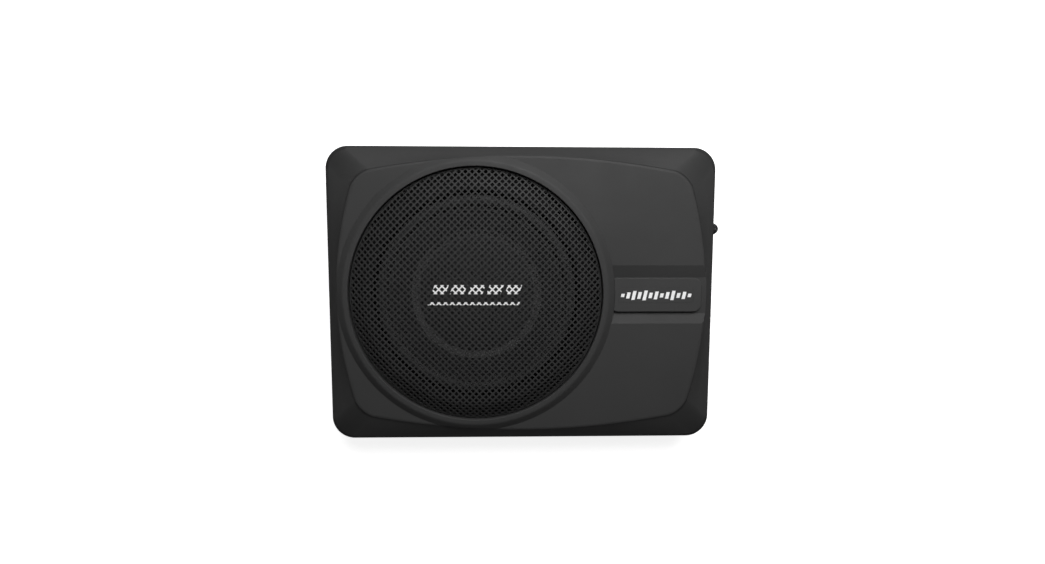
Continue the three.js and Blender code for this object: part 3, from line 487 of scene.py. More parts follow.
SHELL = shell_plastic()
BADGE = moulded_plastic("badge_moulding", (0.04, 0.04, 0.04), 0.58, 0.65)
KNOB = moulded_plastic("knob_moulding", (0.018, 0.018, 0.019), 0.5, 0.62, grain=0.3)
DIAL = moulded_plastic("dial_moulding", (0.035, 0.035, 0.037), 0.4, 0.5, grain=0.3)
BLACK = moulded_plastic("black_moulding", (0.014, 0.014, 0.014), 0.45, 0.58, grain=0.3)
NYLON = moulded_plastic("nylon", (0.6, 0.58, 0.52), 0.42, 0.55, grain=0.6)
LABEL = moulded_plastic("label_film", (0.04, 0.04, 0.04), 0.55, 0.6, grain=0.3, depth=0.015)
PRINT = gloss_plastic("white_print", (0.92, 0.92, 0.92), 0.4)
MARK = gloss_plastic("grey_mark", (0.25, 0.25, 0.25), 0.45)
MESH = printed_mesh()
COAT = powder_coat("black_powder_coat", (0.02, 0.02, 0.021), 0.55)
BASKET = powder_coat("basket_coat", (0.006, 0.006, 0.0062), 0.7, 0.15)
PANEL = powder_coat("panel_anodised", (0.014, 0.014, 0.015), 0.42)
RUBBER = rubber("soft_rubber")
ROLL = rubber("roll_rubber", (0.035, 0.035, 0.036), 0.57, 0.3)
TRIM = rubber("trim_foam", (0.013, 0.013, 0.0135), 0.8, 0.1)
# painted shade: near-black for the ring laid in the groove outside the surround's roll
GROOVE_SHADE = rubber("painted_groove_shade", (0.002, 0.002, 0.002), 0.9, 0.0)
FOAM = rubber("closed_foam", (0.02, 0.02, 0.02), 0.9)
# the cone paper carries painted light out to CONE_STEP_R
PAPER = pressed_paper("cone_paper", (0.028, 0.028, 0.029), CONE_STEP_R)
CAP = pressed_paper("cap_paper", (0.042, 0.042, 0.043))
SPIDER = woven("spider_cloth", (0.42, 0.27, 0.1))
BRAID = woven("braided_copper", (0.5, 0.22, 0.1), 0.4)
ZINC = metal("zinc_plate", (0.62, 0.63, 0.64), 0.34, (1, 8, 1))
SCREW = metal("black_zinc", (0.06, 0.06, 0.065), 0.38)
NICKEL = metal("nickel", (0.72, 0.69, 0.63), 0.22)
BRASS = metal("contact_brass", (0.78, 0.55, 0.22), 0.3)
COPPER = metal("copper_wire", (0.75, 0.33, 0.17), 0.32, (1, 1, 14))
ALUMINIUM = metal("aluminium_bar", (0.72, 0.73, 0.75), 0.36, (1, 12, 1))
FERRITE = metal("ferrite", (0.035, 0.035, 0.038), 0.6, metallic=0.2)
BOARD = circuit_board()
RED_WIRE = rubber("red_insulation", (0.35, 0.012, 0.01), 0.4)
BLACK_WIRE = rubber("black_insulation", (0.012, 0.012, 0.012), 0.4)
RED = gloss_plastic("red_insulator", (0.45, 0.012, 0.01), 0.3)
WHITE = gloss_plastic("white_insulator", (0.75, 0.74, 0.72), 0.3)
FUSE = gloss_plastic("fuse_amber", (0.5, 0.1, 0.015), 0.15, transmission=0.35)
LAMP = gloss_plastic("lamp_lens", (0.02, 0.08, 0.5), 0.1)

# ------------------------------------------------------------------ mesh tools, in millimetres


def build(name, points, faces):
    """An object made of the given points and faces."""
    mesh = bpy.data.meshes.new(name)
    mesh.from_pydata([(x * MM, y * MM, z * MM) for x, y, z in points], [], faces)
    mesh.update()
    return add_object(name, mesh)


def from_bmesh(name, made):
    """An object made of a bmesh, which is used up."""
    mesh = bpy.data.meshes.new(name)
    made.to_mesh(mesh)
    made.free()
    return add_object(name, mesh)


def block(name, start, end):
    """A solid between two four-cornered ends whose corners match."""
    faces = [(3, 2, 1, 0), (4, 5, 6, 7), (0, 1, 5, 4), (1, 2, 6, 5), (2, 3, 7, 6), (3, 0, 4, 7)]
    return build(name, [*start, *end], faces)


def along_x(points):
    """Turns points made about the Z axis to lie about the X axis."""
    return [(z, x, y) for x, y, z in points]


def lathe(name, profile, centre=(0, 0), sides=ROUND, axis="Z", flute=None):
    """A turned solid. profile lists (radius, height) anticlockwise; its ends may lie on the axis.
    centre is the axis's place in the plane across it, and flute(angle, radius, height) may reshape
    the radius."""
    points, rows = [], []
    for radius, height in profile:
        if radius < 1e-6:
            rows.append([len(points)] * sides)
            points.append((0, 0, height))
            continue
        rows.append(range(len(points), len(points) + sides))
        for i in range(sides):
            angle = 2 * math.pi * i / sides
            r = flute(angle, radius, height) if flute else radius
            points.append((r * math.cos(angle), r * math.sin(angle), height))
    faces = []
    for row, after in zip(rows, [*rows[1:], rows[0]]):
        for i in range(sides):
            j = (i + 1) % sides
            corners = [row[i], row[j], after[j], after[i]]
            face = [c for k, c in enumerate(corners) if c not in corners[:k]]
            if len(face) > 2:
                faces.append(face)
    if axis == "X":
        points = [(x, y + centre[0], z + centre[1]) for x, y, z in along_x(points)]
    else:
        points = [(x + centre[0], y + centre[1], z) for x, y, z in points]
    return build(name, points, faces)


def soften(corners, steps=4):
    """Rounds a profile: a corner given as (radius, height, reach) becomes a curve that starts and ends
    reach before and after it."""
    made = []
    count = len(corners)
    for i, corner in enumerate(corners):
        here = Vector(corner[:2])
        if len(corner) == 2:
            made.append(tuple(here))
            continue
        before = (Vector(corners[i - 1][:2]) - here).normalized() * corner[2]
        after = (Vector(corners[(i + 1) % count][:2]) - here).normalized() * corner[2]
        for k in range(steps + 1):
            t = k / steps
            made.append(tuple(here + before * (1 - t) ** 2 + after * t**2))
    return made


CORNER_STEPS = 20
SIDE_STEPS = 20


def outline(z, half_x, half_y, radius, bow=0.0, corner_steps=CORNER_STEPS, side_steps=SIDE_STEPS):
    """A level rounded rectangle, anticlockwise. The share bow turns it into the top face's outline, whose
    sides bow outwards and whose middle is off the enclosure's."""
    signs = [(1, 1), (-1, 1), (-1, -1), (1, -1)]
    flat = []
    for corner, (sx, sy) in enumerate(signs):
        arc = []
        for i in range(corner_steps + 1):
            angle = math.pi / 2 * (corner + i / corner_steps)
            x = sx * (half_x - radius) + radius * math.cos(angle)
            y = sy * (half_y - radius) + radius * math.sin(angle)
            arc.append((x, y))
        nx, ny = signs[(corner + 1) % 4]
        start = arc[-1]
        if corner % 2 == 0:
            end = (nx * (half_x - radius), start[1])
        else:
            end = (start[0], ny * (half_y - radius))
        for i in range(1, side_steps):
            t = i / side_steps
            arc.append((start[0] + t * (end[0] - start[0]), start[1] + t * (end[1] - start[1])))
        flat += arc
    ring = []
    for x, y in flat:
        bowed_x = x * (1 - bow * BOW_X * (y / half_y) ** 2)
        bowed_y = y * (1 - bow * BOW_Y * (x / half_x) ** 2) + bow * TOP_Y
        ring.append((bowed_x, bowed_y, z))
    return ring


def loft(name, rings, centre=(0, 0)):
    """A closed skin over rings of equal count, from the lowest to the highest."""
    count = len(rings[0])
    points = [(x + centre[0], y + centre[1], z) for ring in rings for x, y, z in ring]
    faces = [list(range(count - 1, -1, -1))]
    for k in range(len(rings) - 1):
        for i in range(count):
            j = (i + 1) % count
            faces.append([k * count + i, k * count + j, (k + 1) * count + j, (k + 1) * count + i])
    last = (len(rings) - 1) * count
    faces.append(list(range(last, last + count)))
    return build(name, points, faces)


def slab(name, low, high, half_x, half_y, radius, centre, edge=0.5, steps=3, corner_steps=10):
    """A level plate with rounded corners and softened top and bottom edges."""

    def ring(z, inset):
        return outline(z, half_x - inset, half_y - inset, radius - inset, 0, corner_steps, 1)

    turns = [math.pi / 2 * k / steps for k in range(steps + 1)]
    lower = [ring(low + edge * (1 - math.cos(turn)), edge * (1 - math.sin(turn))) for turn in turns]
    upper = [ring(high - edge * (1 - math.sin(turn)), edge * (1 - math.cos(turn))) for turn in turns]
    return loft(name, lower + upper, centre)


def box(name, low, high):
    flat = [(low[0], low[1]), (high[0], low[1]), (high[0], high[1]), (low[0], high[1])]
    return block(name, *[[(x, y, z) for x, y in flat] for z in (low[2], high[2])])


def end_box(name, x0, x1, y, z, span_y, span_z):
    """A box that reaches from x0 to x1 and is centred on y and z."""
    return box(name, (x0, y - span_y / 2, z - span_z / 2), (x1, y + span_y / 2, z + span_z / 2))


def end_rod(name, radius, x0, x1, y, z, sides=48):
    """A rod along X, centred on y and z."""
    return lathe(name, [(0, x0), (radius, x0), (radius, x1), (0, x1)], (y, z), sides, "X")


def disc(name, radius, low, high, centre, sides=48):
    """A rod along Z."""
    return lathe(name, [(0, low), (radius, low), (radius, high), (0, high)], centre, sides)


def screw_holes(places, low, high):
    return [disc("hole", SCREW_HOLE_R, low, high, (place.x, place.y), 32) for place in places]


def settle(obj):
    """Applies the object's modifiers to its mesh."""
    bpy.context.view_layer.update()
    graph = bpy.context.evaluated_depsgraph_get()
    mesh = bpy.data.meshes.new_from_object(obj.evaluated_get(graph))
    obj.modifiers.clear()
    obj.data = mesh
    return obj


def combine(body, tools, operation):
    """Cuts tools from body, or joins them to it, and removes them."""
    for tool in tools:
        modifier = body.modifiers.new("combine", "BOOLEAN")
        modifier.operation = operation
        modifier.solver = "MANIFOLD"
        modifier.object = tool
        settle(body)
        bpy.data.objects.remove(tool)
    return body


def cut(body, *tools):
    return combine(body, tools, "DIFFERENCE")


def join(body, *tools):
    return combine(body, tools, "UNION")


def round_edges(obj, width, segments=2, degrees=35):
    modifier = obj.modifiers.new("edges", "BEVEL")
    modifier.width = width * MM
    modifier.segments = segments
    modifier.limit_method = "ANGLE"
    modifier.angle_limit = math.radians(degrees)
    modifier.use_clamp_overlap = True
    return settle(obj)


def finish_piece(obj, material, body="enclosure", replaces=(), crease=30):
    """Shades the piece, gives it its material and makes it ride on a body."""
    mesh = obj.data
    mesh.shade_smooth()
    mesh.set_sharp_from_angle(angle=math.radians(crease))
    weighted = obj.modifiers.new("normals", "WEIGHTED_NORMAL")
    weighted.keep_sharp = True
    mesh.materials.clear()
    mesh.materials.append(material)
    if body:
        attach(obj, body)
    if replaces:
        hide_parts(*replaces)
    return obj


def merge(name, pieces):
    """Joins separate closed pieces into one object."""
    made = bmesh.new()
    for piece in pieces:
        made.from_mesh(piece.data)
        bpy.data.objects.remove(piece)
    return from_bmesh(name, made)


# ------------------------------------------------------------------ enclosure


def shell_rings(inset):
    """The outer skin's outlines, or the hollow's when inset is the wall's thickness."""
    rings = []

    def wall(z, pull, bow=0.0):
        rings.append(outline(z, HALF_X - pull - inset, HALF_Y - pull - inset, CORNER_R - pull - inset, bow))

    def top(z, pull, bow):
        size = [extent - pull - inset for extent in (TOP_HALF_X, TOP_HALF_Y, TOP_CORNER_R)]
        rings.append(outline(z - inset, *size, bow))

    wall(RIM_Z - (1 if inset else 0), DRAFT)
    wall(SHOULDER_Z - 14, 1.0)
    steps = 10
    for k in range(steps + 1):
        t = k / steps
        z = SHOULDER_Z + 4 * t * (1 - t) + 5.6 * t * t
        wall(z - inset * 0.5 * t, 2.8 * t * t, 0.08 * t * t)
    lower, upper = (SHOULDER_Z + 5.6, 2.8), (TOP_Z - 1.8, -1.3)
    steps = 5
    for k in range(1, steps):
        t = k / steps
        size = []
        for full, flat in ((HALF_X, TOP_HALF_X), (HALF_Y, TOP_HALF_Y), (CORNER_R, TOP_CORNER_R)):
            size.append((full - lower[1]) * (1 - t) + (flat - upper[1]) * t - inset)
        z = lower[0] * (1 - t) + upper[0] * t + 0.3 * math.sin(math.pi * t)
        rings.append(outline(z - inset * (0.5 + 0.5 * t), *size, 0.08 + 0.87 * t))
    steps = 6
    for k in range(steps + 1):
        angle = math.pi / 2 * k / steps
        top(upper[0] + 1.8 * math.sin(angle), upper[1] + 3.1 * (1 - math.cos(angle)), 0.95 + 0.05 * k / steps)
    return rings


def recess_tool(name, drop, grow):
    """The trough that the badge plate lies in, sunk by drop and widened by grow."""
    floor = TOP_Z - RECESS_D - drop
    above = TOP_Z + 8
    rise = (above - floor) / RECESS_D
    low, high = RECESS_LOW_Y - grow, RECESS_HIGH_Y + grow
    section = [(low, floor), (high, floor), (high + RECESS_HIGH_SLOPE * rise, above),
               (low - RECESS_LOW_SLOPE * rise, above)]
    return block(name, *[[(x, y, z) for y, z in section] for x in (DRIVER_X + LIP_R, SHELL_HIGH.x + 5)])


BASE_SCREWS = [middle_of(f"base_screw_{i}") for i in range(1, 5)]
MIDDLE_SCREWS = [Vector((CENTRE_X + 25, side * (HALF_Y - 11), 0)) for side in (1, -1)]
DRIVER_SCREWS = [middle_of(f"driver_screw_{i}") for i in range(1, 5)]
PANEL_SCREWS = [middle_of(f"panel_screw_{i}") for i in (1, 2)]


def shell_skin():
    """The hollow cover, with the trough for the badge and the round opening for the driver."""
    skin = loft("shell", shell_rings(0), (CENTRE_X, 0))
    hollow = loft("hollow", shell_rings(WALL), (CENTRE_X, 0))
    hollow = cut(hollow, recess_tool("under_recess", WALL, 1))
    skin = cut(skin, hollow, recess_tool("recess", 0, 0))
    return cut(skin, disc("well", BORE_R + 1, TOP_Z - 12, TOP_Z + 1, AXIS, ROUND))


def shell_collar():
    """The raised ring round the grille and the ledge inside it, kept within the top face's outline."""
    profile = [
        (LEDGE_R, LEDGE_Z - WALL),
        (BORE_R + WALL, LEDGE_Z - WALL),
        (BORE_R + WALL, TOP_Z - 4),
        (RING_R - 0.5, TOP_Z - 4),
        (RING_R + 0.1, TOP_Z - 0.2),
        (LIP_R + 0.4, LIP_Z, 1.6),
        (BORE_R, LIP_Z, 0.8),
        (BORE_R, LEDGE_Z),
        (LEDGE_R, LEDGE_Z),
    ]
    limit = []
    for z in (LEDGE_Z - 5, LIP_Z + 1):
        limit.append(outline(z, TOP_HALF_X - 0.2, TOP_HALF_Y - 0.2, TOP_CORNER_R - 0.2, 1))
    collar = lathe("collar", soften(profile, 6), AXIS)
    return combine(collar, [loft("limit", limit, (CENTRE_X, 0))], "INTERSECT")


def make_shell():
    skin = join(shell_skin(), shell_collar())
    frame_x = PANEL_LOW.x - 0.3
    z_low, z_high = PANEL_LOW.z - 0.3, PANEL_HIGH.z + 0.3
    y_low, y_high = PANEL_LOW.y - 0.3, PANEL_HIGH.y + 0.3
    cover_screws = BASE_SCREWS + MIDDLE_SCREWS
    bosses = [disc("boss", 7, RIM_Z + 0.4, SHOULDER_Z - 6, (place.x, place.y)) for place in cover_screws]
    pad_high = (SHELL_HIGH.x - 2.9, y_high + 5, z_high + 3)
    pad = box("panel_frame", (frame_x - 6, y_low - 5, RIM_Z + 0.5), pad_high)
    skin = join(skin, pad, *bosses)
    tools = screw_holes(cover_screws, RIM_Z - 1, RIM_Z + 12)
    tools += screw_holes(DRIVER_SCREWS, LEDGE_Z - 5, LEDGE_Z + 1)
    tools.append(box("pocket", (frame_x, y_low, z_low), (SHELL_HIGH.x + 5, y_high, z_high)))
    tools.append(box("window", (frame_x - 10, y_low + 8, z_low + 2), (frame_x + 1, y_high - 8, z_high - 2)))
    for place in PANEL_SCREWS:
        tools.append(end_rod("hole", SCREW_HOLE_R, frame_x - 4.8, frame_x + 1, place.y, place.z, 32))
    finish_piece(cut(skin, *tools), SHELL, replaces=("top_shell",), crease=11)


def make_base():
    """The steel cover with four beads pressed into it and a countersunk seat for each screw."""
    low, high = 3.0, 5.0
    plate = slab("base_cover", low, high, HALF_X - 2.6, HALF_Y - 2.6, CORNER_R - 2.6, (CENTRE_X, 0))
    tools = []
    for offset in (-84, -28, 28, 84):
        tools.append(slab("bead", low - 1, low + 0.7, 142, 5, 4.9, (CENTRE_X, offset), 0.4, corner_steps=12))
    seat = [(0, low - 1), (4.2, low - 1), (4.2, low), (SCREW_HOLE_R, high), (SCREW_HOLE_R, high + 1),
            (0, high + 1)]
    for place in BASE_SCREWS + MIDDLE_SCREWS:
        tools.append(lathe("seat", seat, (place.x, place.y), 48))
    finish_piece(cut(plate, *tools), COAT, replaces=("base_plate",))


def make_gasket():
    low, high = (corner.z for corner in node_box("base_gasket"))
    outside, inside = 3, 7.5
    gasket = slab("perimeter_gasket", low, high, HALF_X - outside, HALF_Y - outside, CORNER_R - outside,
                  (CENTRE_X, 0), 0.4)
    hollow = slab("inside", low - 1, high + 1, HALF_X - inside, HALF_Y - inside, CORNER_R - inside,
                  (CENTRE_X, 0), 0.2)
    finish_piece(cut(gasket, hollow), FOAM, replaces=("base_gasket",))


def cross_tool(low, high, reach, width, centre):
    """A cross recess that narrows downwards, as two crossed wedges."""
    wedges = []
    for turned in (False, True):
        ends = []
        for z, span in ((low, reach * 0.45), (high, reach)):
            end = []
            for sx, sy in ((-1, -1), (1, -1), (1, 1), (-1, 1)):
                x, y = sx * span, sy * width / 2
                if turned:
                    x, y = -y, x
                end.append((x + centre[0], y + centre[1], z))
            ends.append(end)
        wedges.append(block("wedge", *ends))
    return wedges


def make_screw(name, profile, centre, tools, replaces, axis="Z"):
    """A turned screw with the tools' recess in its head."""
    screw = cut(lathe(name, profile, centre, 40, axis), *tools)
    finish_piece(screw, SCREW, replaces=replaces)


def make_base_screw(name, place, replaces=()):
    """A countersunk screw that points upwards, with a thread of eight turns."""
    low = 3.1
    centre = (place.x, place.y)
    profile = [(0, low), (3.6, low), (3.8, low + 0.2), (1.75, low + 2.1)]
    for k in range(8):
        z = low + 3 + k * 1.2
        profile += [(1.7, z), (1.4, z + 0.6)]
    profile += [(1.7, low + 12.8), (0.7, low + 14), (0, low + 14)]
    tools = cross_tool(low + 1.5, low - 0.1, 2.1, 0.8, centre)
    for tool in tools:
        tool.data.flip_normals()
    make_screw(name, profile, centre, tools, replaces)


def make_base_screws():
    for i, place in enumerate(BASE_SCREWS):
        make_base_screw(f"cover_screw_{i + 1}", place, (f"base_screw_{i + 1}",))
    for i, place in enumerate(MIDDLE_SCREWS):
        make_base_screw(f"cover_screw_{i + 5}", place)


def make_feet():
    """Turned rubber pads, each with a groove round its sole."""
    for i in range(1, 5):
        place = middle_of(f"foot_{i}")
        top = node_box(f"foot_{i}")[1].z
        profile = [(0, 0.5), (2.2, 0.5, 0.3), (2.6, 0, 0.3), (4.6, 0, 0.3), (5, 0.5, 0.3), (6, 0.5, 0.3),
                   (6.4, 0, 0.3), (10.4, 0, 1.2), (11.5, 1.6, 1), (11.5, top, 0.4), (0, top)]
        foot = lathe(f"foot_pad_{i}", soften(profile, 3), (place.x, place.y), 64)
        finish_piece(foot, RUBBER, replaces=(f"foot_{i}",))


def make_badge():
    """The tongue, which starts under the grille's ring, and the label let into it."""
    middle = (BADGE_LOW + BADGE_HIGH) / 2
    start = BADGE_LOW.x - 4
    centre = ((start + BADGE_HIGH.x) / 2, middle.y)
    half = ((BADGE_HIGH.x - start) / 2, (BADGE_HIGH.y - BADGE_LOW.y) / 2)
    plate = slab("badge_tongue", BADGE_LOW.z, BADGE_HIGH.z, *half, 8, centre, 0.7, 4, 16)
    clear = disc("clear", RING_R + 0.12, BADGE_LOW.z - 1, BADGE_HIGH.z + 1, AXIS, ROUND)
    label = (INLAY_LOW + INLAY_HIGH) / 2
    span = (INLAY_HIGH - INLAY_LOW) / 2
    place = (label.x, label.y)
    gap = 0.06
    low, high = BADGE_HIGH.z - 0.6, BADGE_HIGH.z + 1
    pocket = slab("pocket", low, high, span.x + gap, span.y + gap, 1.86, place, 0.02)
    finish_piece(cut(plate, clear, pocket), BADGE, replaces=("badge_plate",))
    face = slab("badge_label", INLAY_LOW.z - 0.25, INLAY_HIGH.z, span.x, span.y, 1.8, place, 0.12)
    finish_piece(face, LABEL, replaces=("badge_inlay",))
    make_motif(label, span)


def make_motif(label, span):
    """A plain row of slanted bars of different heights, like a level meter, raised a little."""
    shares = [0.34, 0.62, 0.9, 0.7, 1.0, 0.56, 0.8, 0.42, 0.68, 0.95, 0.5, 0.74, 0.36]
    step = 2 * span.x * 0.97 / len(shares)
    wide = step * 0.3
    bars = []
    for i, share in enumerate(shares):
        x = label.x + (i - (len(shares) - 1) / 2) * step
        tall = share * span.y * 0.66
        lean = tall * 0.22
        flat = [(x - wide - lean, label.y - tall), (x + wide - lean, label.y - tall),
                (x + wide + lean, label.y + tall), (x - wide + lean, label.y + tall)]
        ends = [[(px, py, INLAY_HIGH.z + lift) for px, py in flat] for lift in (-0.05, 0.06)]
        bars.append(block("bar", *ends))
    finish_piece(round_edges(merge("badge_motif", bars), 0.03, 1), PRINT)


# ------------------------------------------------------------------ grille

HALF_CELL = 3.15 # from the middle of a hole to the corner of its cell
HOLE_CORNER = 2.02 # a hole is a diamond whose corners are cut off from (HOLE_FAR, HOLE_NEAR) on
HOLE_FAR = 1.84
HOLE_NEAR = 0.43
PERFORATED_R = GRILLE_R - 0.9
RIM_R = PERFORATED_R - 0.15 # the rim's inner edge, just under the perforated sheet
GRILLE_EDGE_Z = LIP_Z - 4.2


def smooth_line(points, steps=6):
    """A curve through the points, worked out as a Catmull-Rom spline."""
    known = [Vector(p) for p in points]
    known = [2 * known[0] - known[1], *known, 2 * known[-1] - known[-2]]
    made = []
    for i in range(1, len(known) - 2):
        a, b, c, d = known[i - 1 : i + 3]
        for k in range(steps):
            t = k / steps
            square, cube = 2 * a - 5 * b + 4 * c - d, 3 * b - a - 3 * c + d
            made.append(tuple(0.5 * (2 * b + (c - a) * t + square * t**2 + cube * t**3)))
    made.append(tuple(known[-2]))
    return made


# The outside of the sheet: a shallow dome with a sloping skirt.
DOME = [(0, 0), (50, 0.2), (88, 0.6), (97, 0.75), (102, 1), (106, 1.9), (112, 5.1)] # radius and drop
SKIRT = [(118.5, GRILLE_EDGE_Z + 1), (GRILLE_R, GRILLE_EDGE_Z)]
GRILLE_LINE = smooth_line([(radius, GRILLE_Z - drop) for radius, drop in DOME] + SKIRT, 4)


def grille_height(radius):
    return float(np.interp(radius, *zip(*GRILLE_LINE)))


def cell_lines():
    """The corners of a cell and of the hole in it, anticlockwise about its middle."""
    quarter_out = [(HALF_CELL, 0), (HALF_CELL * 2 / 3, HALF_CELL / 3), (HALF_CELL / 3, HALF_CELL * 2 / 3)]
    quarter_in = [(HOLE_CORNER, 0), (HOLE_FAR, HOLE_NEAR), (HOLE_NEAR, HOLE_FAR)]
    outer, inner = [], []
    for c, s in ((1, 0), (0, 1), (-1, 0), (0, -1)):
        outer += [(c * x - s * y, s * x + c * y) for x, y in quarter_out]
        inner += [(c * x - s * y, s * x + c * y) for x, y in quarter_in]
    return outer, inner


def perforated_sheet():
    """The sheet's outer skin, cell by cell. Corners beyond its edge are drawn in to the edge."""
    outer, inner = cell_lines()
    count = len(outer)
    steps = int(GRILLE_R / HALF_CELL) + 2
    made = bmesh.new()
    known = {}

    def corner(x, y):
        radius = math.hypot(x, y)
        if radius > PERFORATED_R:
            x, y = x * PERFORATED_R / radius, y * PERFORATED_R / radius
            radius = PERFORATED_R
        key = (round(x * 200), round(y * 200))
        if key not in known:
            z = grille_height(radius)
            known[key] = made.verts.new(((x + DRIVER_X) * MM, (y + DRIVER_Y) * MM, z * MM))
        return known[key], radius

    def add_cell(cx, cy):
        for i in range(count):
            j = (i + 1) % count
            found = [corner(cx + x, cy + y) for x, y in (outer[i], outer[j], inner[j], inner[i])]
            verts = list(dict.fromkeys(vert for vert, _ in found))
            within = any(radius < PERFORATED_R - 0.01 for _, radius in found)
            if within and len(verts) > 2 and made.faces.get(verts) is None:
                made.faces.new(verts)

    for a in range(-steps, steps + 1):
        for b in range(-steps, steps + 1):
            cx, cy = a * HALF_CELL, b * HALF_CELL
            if (a + b) % 2 == 0 and math.hypot(cx, cy) <= PERFORATED_R + HALF_CELL:
                add_cell(cx, cy)
    loose = [vert for vert in made.verts if not vert.link_faces]
    bmesh.ops.delete(made, geom=loose, context="VERTS")
    return from_bmesh("grille_sheet", made)


def make_grille_sheet():
    sheet = perforated_sheet()
    thick = sheet.modifiers.new("thickness", "SOLIDIFY")
    thick.thickness = GRILLE_T * MM
    thick.offset = -1
    settle(sheet)
    finish_piece(sheet, MESH, replaces=("grille_mesh",), crease=40)


def make_grille_rim():
    """The plain edge of the sheet with its hem, and the hoop that holds it."""
    line = []
    steps = 8
    for k in range(steps + 1):
        radius = RIM_R + (GRILLE_R - PERFORATED_R + 0.15) * math.sin(math.pi / 2 * k / steps)
        line.append((radius, grille_height(radius)))
    edge = line[-1][1]
    hem = edge - 3.4
    inside = GRILLE_R - 0.9
    profile = [(RIM_R, line[0][1] - GRILLE_T), (inside - 0.8, edge - 0.6), (inside, edge - 1.6),
               (inside, hem), (GRILLE_R, hem), *reversed(line)]
    rim = lathe("grille_rim", profile, AXIS)
    finish_piece(rim, MESH)
    low, high = (corner.z for corner in node_box("grille_hoop"))
    inner, outer = 117.8, inside - 0.3
    ring = [(inner, low, 0.3), (outer, low, 0.3), (outer, high, 0.3), (inner, high, 0.3)]
    hoop = lathe("grille_ring", soften(ring, 3), AXIS)
    finish_piece(hoop, BLACK, replaces=("grille_hoop",))


# ------------------------------------------------------------------ driver

COIL_R = 25.0
ROLL_R = 90.0
ROLL_HALF = 5.6
ROLL_H = 5.6
SKIN = 0.8 # thickness of the surround and the spider
SPIDER_IN = 28 # the spider's pleats lie between these two radii
SPIDER_OUT = 58
TINSEL_ROUTE = [(96, 9.9, 41), (94, 14, 40.6), (86, 23, 41.5), (79, 24, 46.5), (74, 23.5, 50.3),
                (69, 21.5, 52.7), (66, 20.4, 52.9)]


def sheet_profile(line, thickness):
    """A closed profile of even thickness under a line that runs outwards."""
    under = []
    for i, (r, z) in enumerate(line):
        r0, z0 = line[max(i - 1, 0)]
        r1, z1 = line[min(i + 1, len(line) - 1)]
        slope = Vector((r1 - r0, z1 - z0)).normalized()
        under.append((max(0.0, r + slope.y * thickness) if r > 1e-6 else 0.0, z - slope.x * thickness))
    return [*under, *reversed(line)]


def surround_line():
    """A flat foot inside, the half roll, and a flat foot outside."""
    flat = SEAT_Z + SKIN
    line = [(80.8, flat), (ROLL_R - ROLL_HALF - 0.8, flat)]
    steps = 20
    for k in range(steps + 1):
        angle = math.pi * (1 - k / steps)
        line.append((ROLL_R + ROLL_HALF * math.cos(angle), flat + ROLL_H * math.sin(angle) ** 0.9))
    line += [(ROLL_R + ROLL_HALF + 0.8, flat), (106, flat)]
    return line


def spider_line():
    """Four pleats between a flat hub and a flat edge."""
    z = node_box("spider")[1].z - 1.2
    line = [(COIL_R + 0.3, z), (SPIDER_IN, z)]
    steps = 72
    for k in range(1, steps):
        t = k / steps
        line.append((SPIDER_IN + (SPIDER_OUT - SPIDER_IN) * t, z + 1.2 * math.sin(2 * math.pi * 4 * t)))
    line += [(SPIDER_OUT, z), (65.5, z)]
    return line


def blend_by_radius(piece):
    """Sets each point to its distance from the driver's axis, bakes the piece's transform into its mesh, and
    puts the points back as they were.
    """
    mesh = piece.data
    shape = np.empty(len(mesh.vertices) * 3, np.float32)
    mesh.vertices.foreach_get("co", shape)
    points = shape.reshape(-1, 3)
    laid = np.zeros_like(points)
    laid[:, 0] = np.hypot(points[:, 0] - DRIVER_X * MM, points[:, 1] - DRIVER_Y * MM)
    mesh.vertices.foreach_set("co", laid.ravel())
    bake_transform(piece)
    mesh.vertices.foreach_set("co", shape)
    mesh.update()


def sweep(name, path, radius, sides=10):
    """A round wire along a path, closed at its ends."""
    path = [Vector(p) for p in path]
    points = []
    for i, place in enumerate(path):
        ahead = (path[min(i + 1, len(path) - 1)] - path[max(i - 1, 0)]).normalized()
        across = ahead.cross(Vector((0, 0, 1))).normalized()
        up = across.cross(ahead)
        for k in range(sides):
            angle = 2 * math.pi * k / sides
            points.append(place + radius * (math.cos(angle) * across + math.sin(angle) * up))
    faces = [tuple(range(sides)), tuple(reversed(range(len(points) - sides, len(points))))]
    for row in range(0, len(points) - sides, sides):
        for k in range(sides):
            j = (k + 1) % sides
            faces.append((row + j, row + k, row + sides + k, row + sides + j))
    return build(name, points, faces)


def make_leads():
    """Braided leads that hang between the terminals and eyelets under the cone."""
    for i, side in enumerate((1, -1)):
        route = [Vector((DRIVER_X + x, DRIVER_Y + side * y, z)) for x, y, z in TINSEL_ROUTE]
        lead = sweep(f"tinsel_braid_{i + 1}", smooth_line(route, 8), 0.8)
        finish_piece(lead, BRAID, body=None, replaces=(f"tinsel_lead_{i + 1}",))
        blend_by_radius(lead)
        end = route[-1]
        low, high = end.z - 1.1, end.z + 1.7
        eyelet = soften([(0, low), (1.9, low, 0.5), (2.3, high, 0.3), (0, high)], 3)
        rivet = lathe(f"lead_eyelet_{i + 1}", eyelet, (end.x, end.y), 32)
        finish_piece(rivet, BRASS, body="cone_assembly")


def make_surround():
    """The rubber roll, and outside it a near-black ring laid in the groove as painted shade."""
    roll = lathe("surround_roll", sheet_profile(surround_line(), SKIN), AXIS)
    finish_piece(roll, ROLL, body=None, replaces=("surround",))
    blend_by_radius(roll)
    # painted shade: a near-black ring in the groove between the roll and the trim
    inner, outer, low, high = 95.5, 99.3, SEAT_Z + SKIN + 0.02, SEAT_Z + 1.05
    bead = [(inner, low), (outer, low), (outer, high, 0.1), (inner, high, 0.1)]
    finish_piece(lathe("surround_shade_ring", soften(bead, 2), AXIS), GROOVE_SHADE)


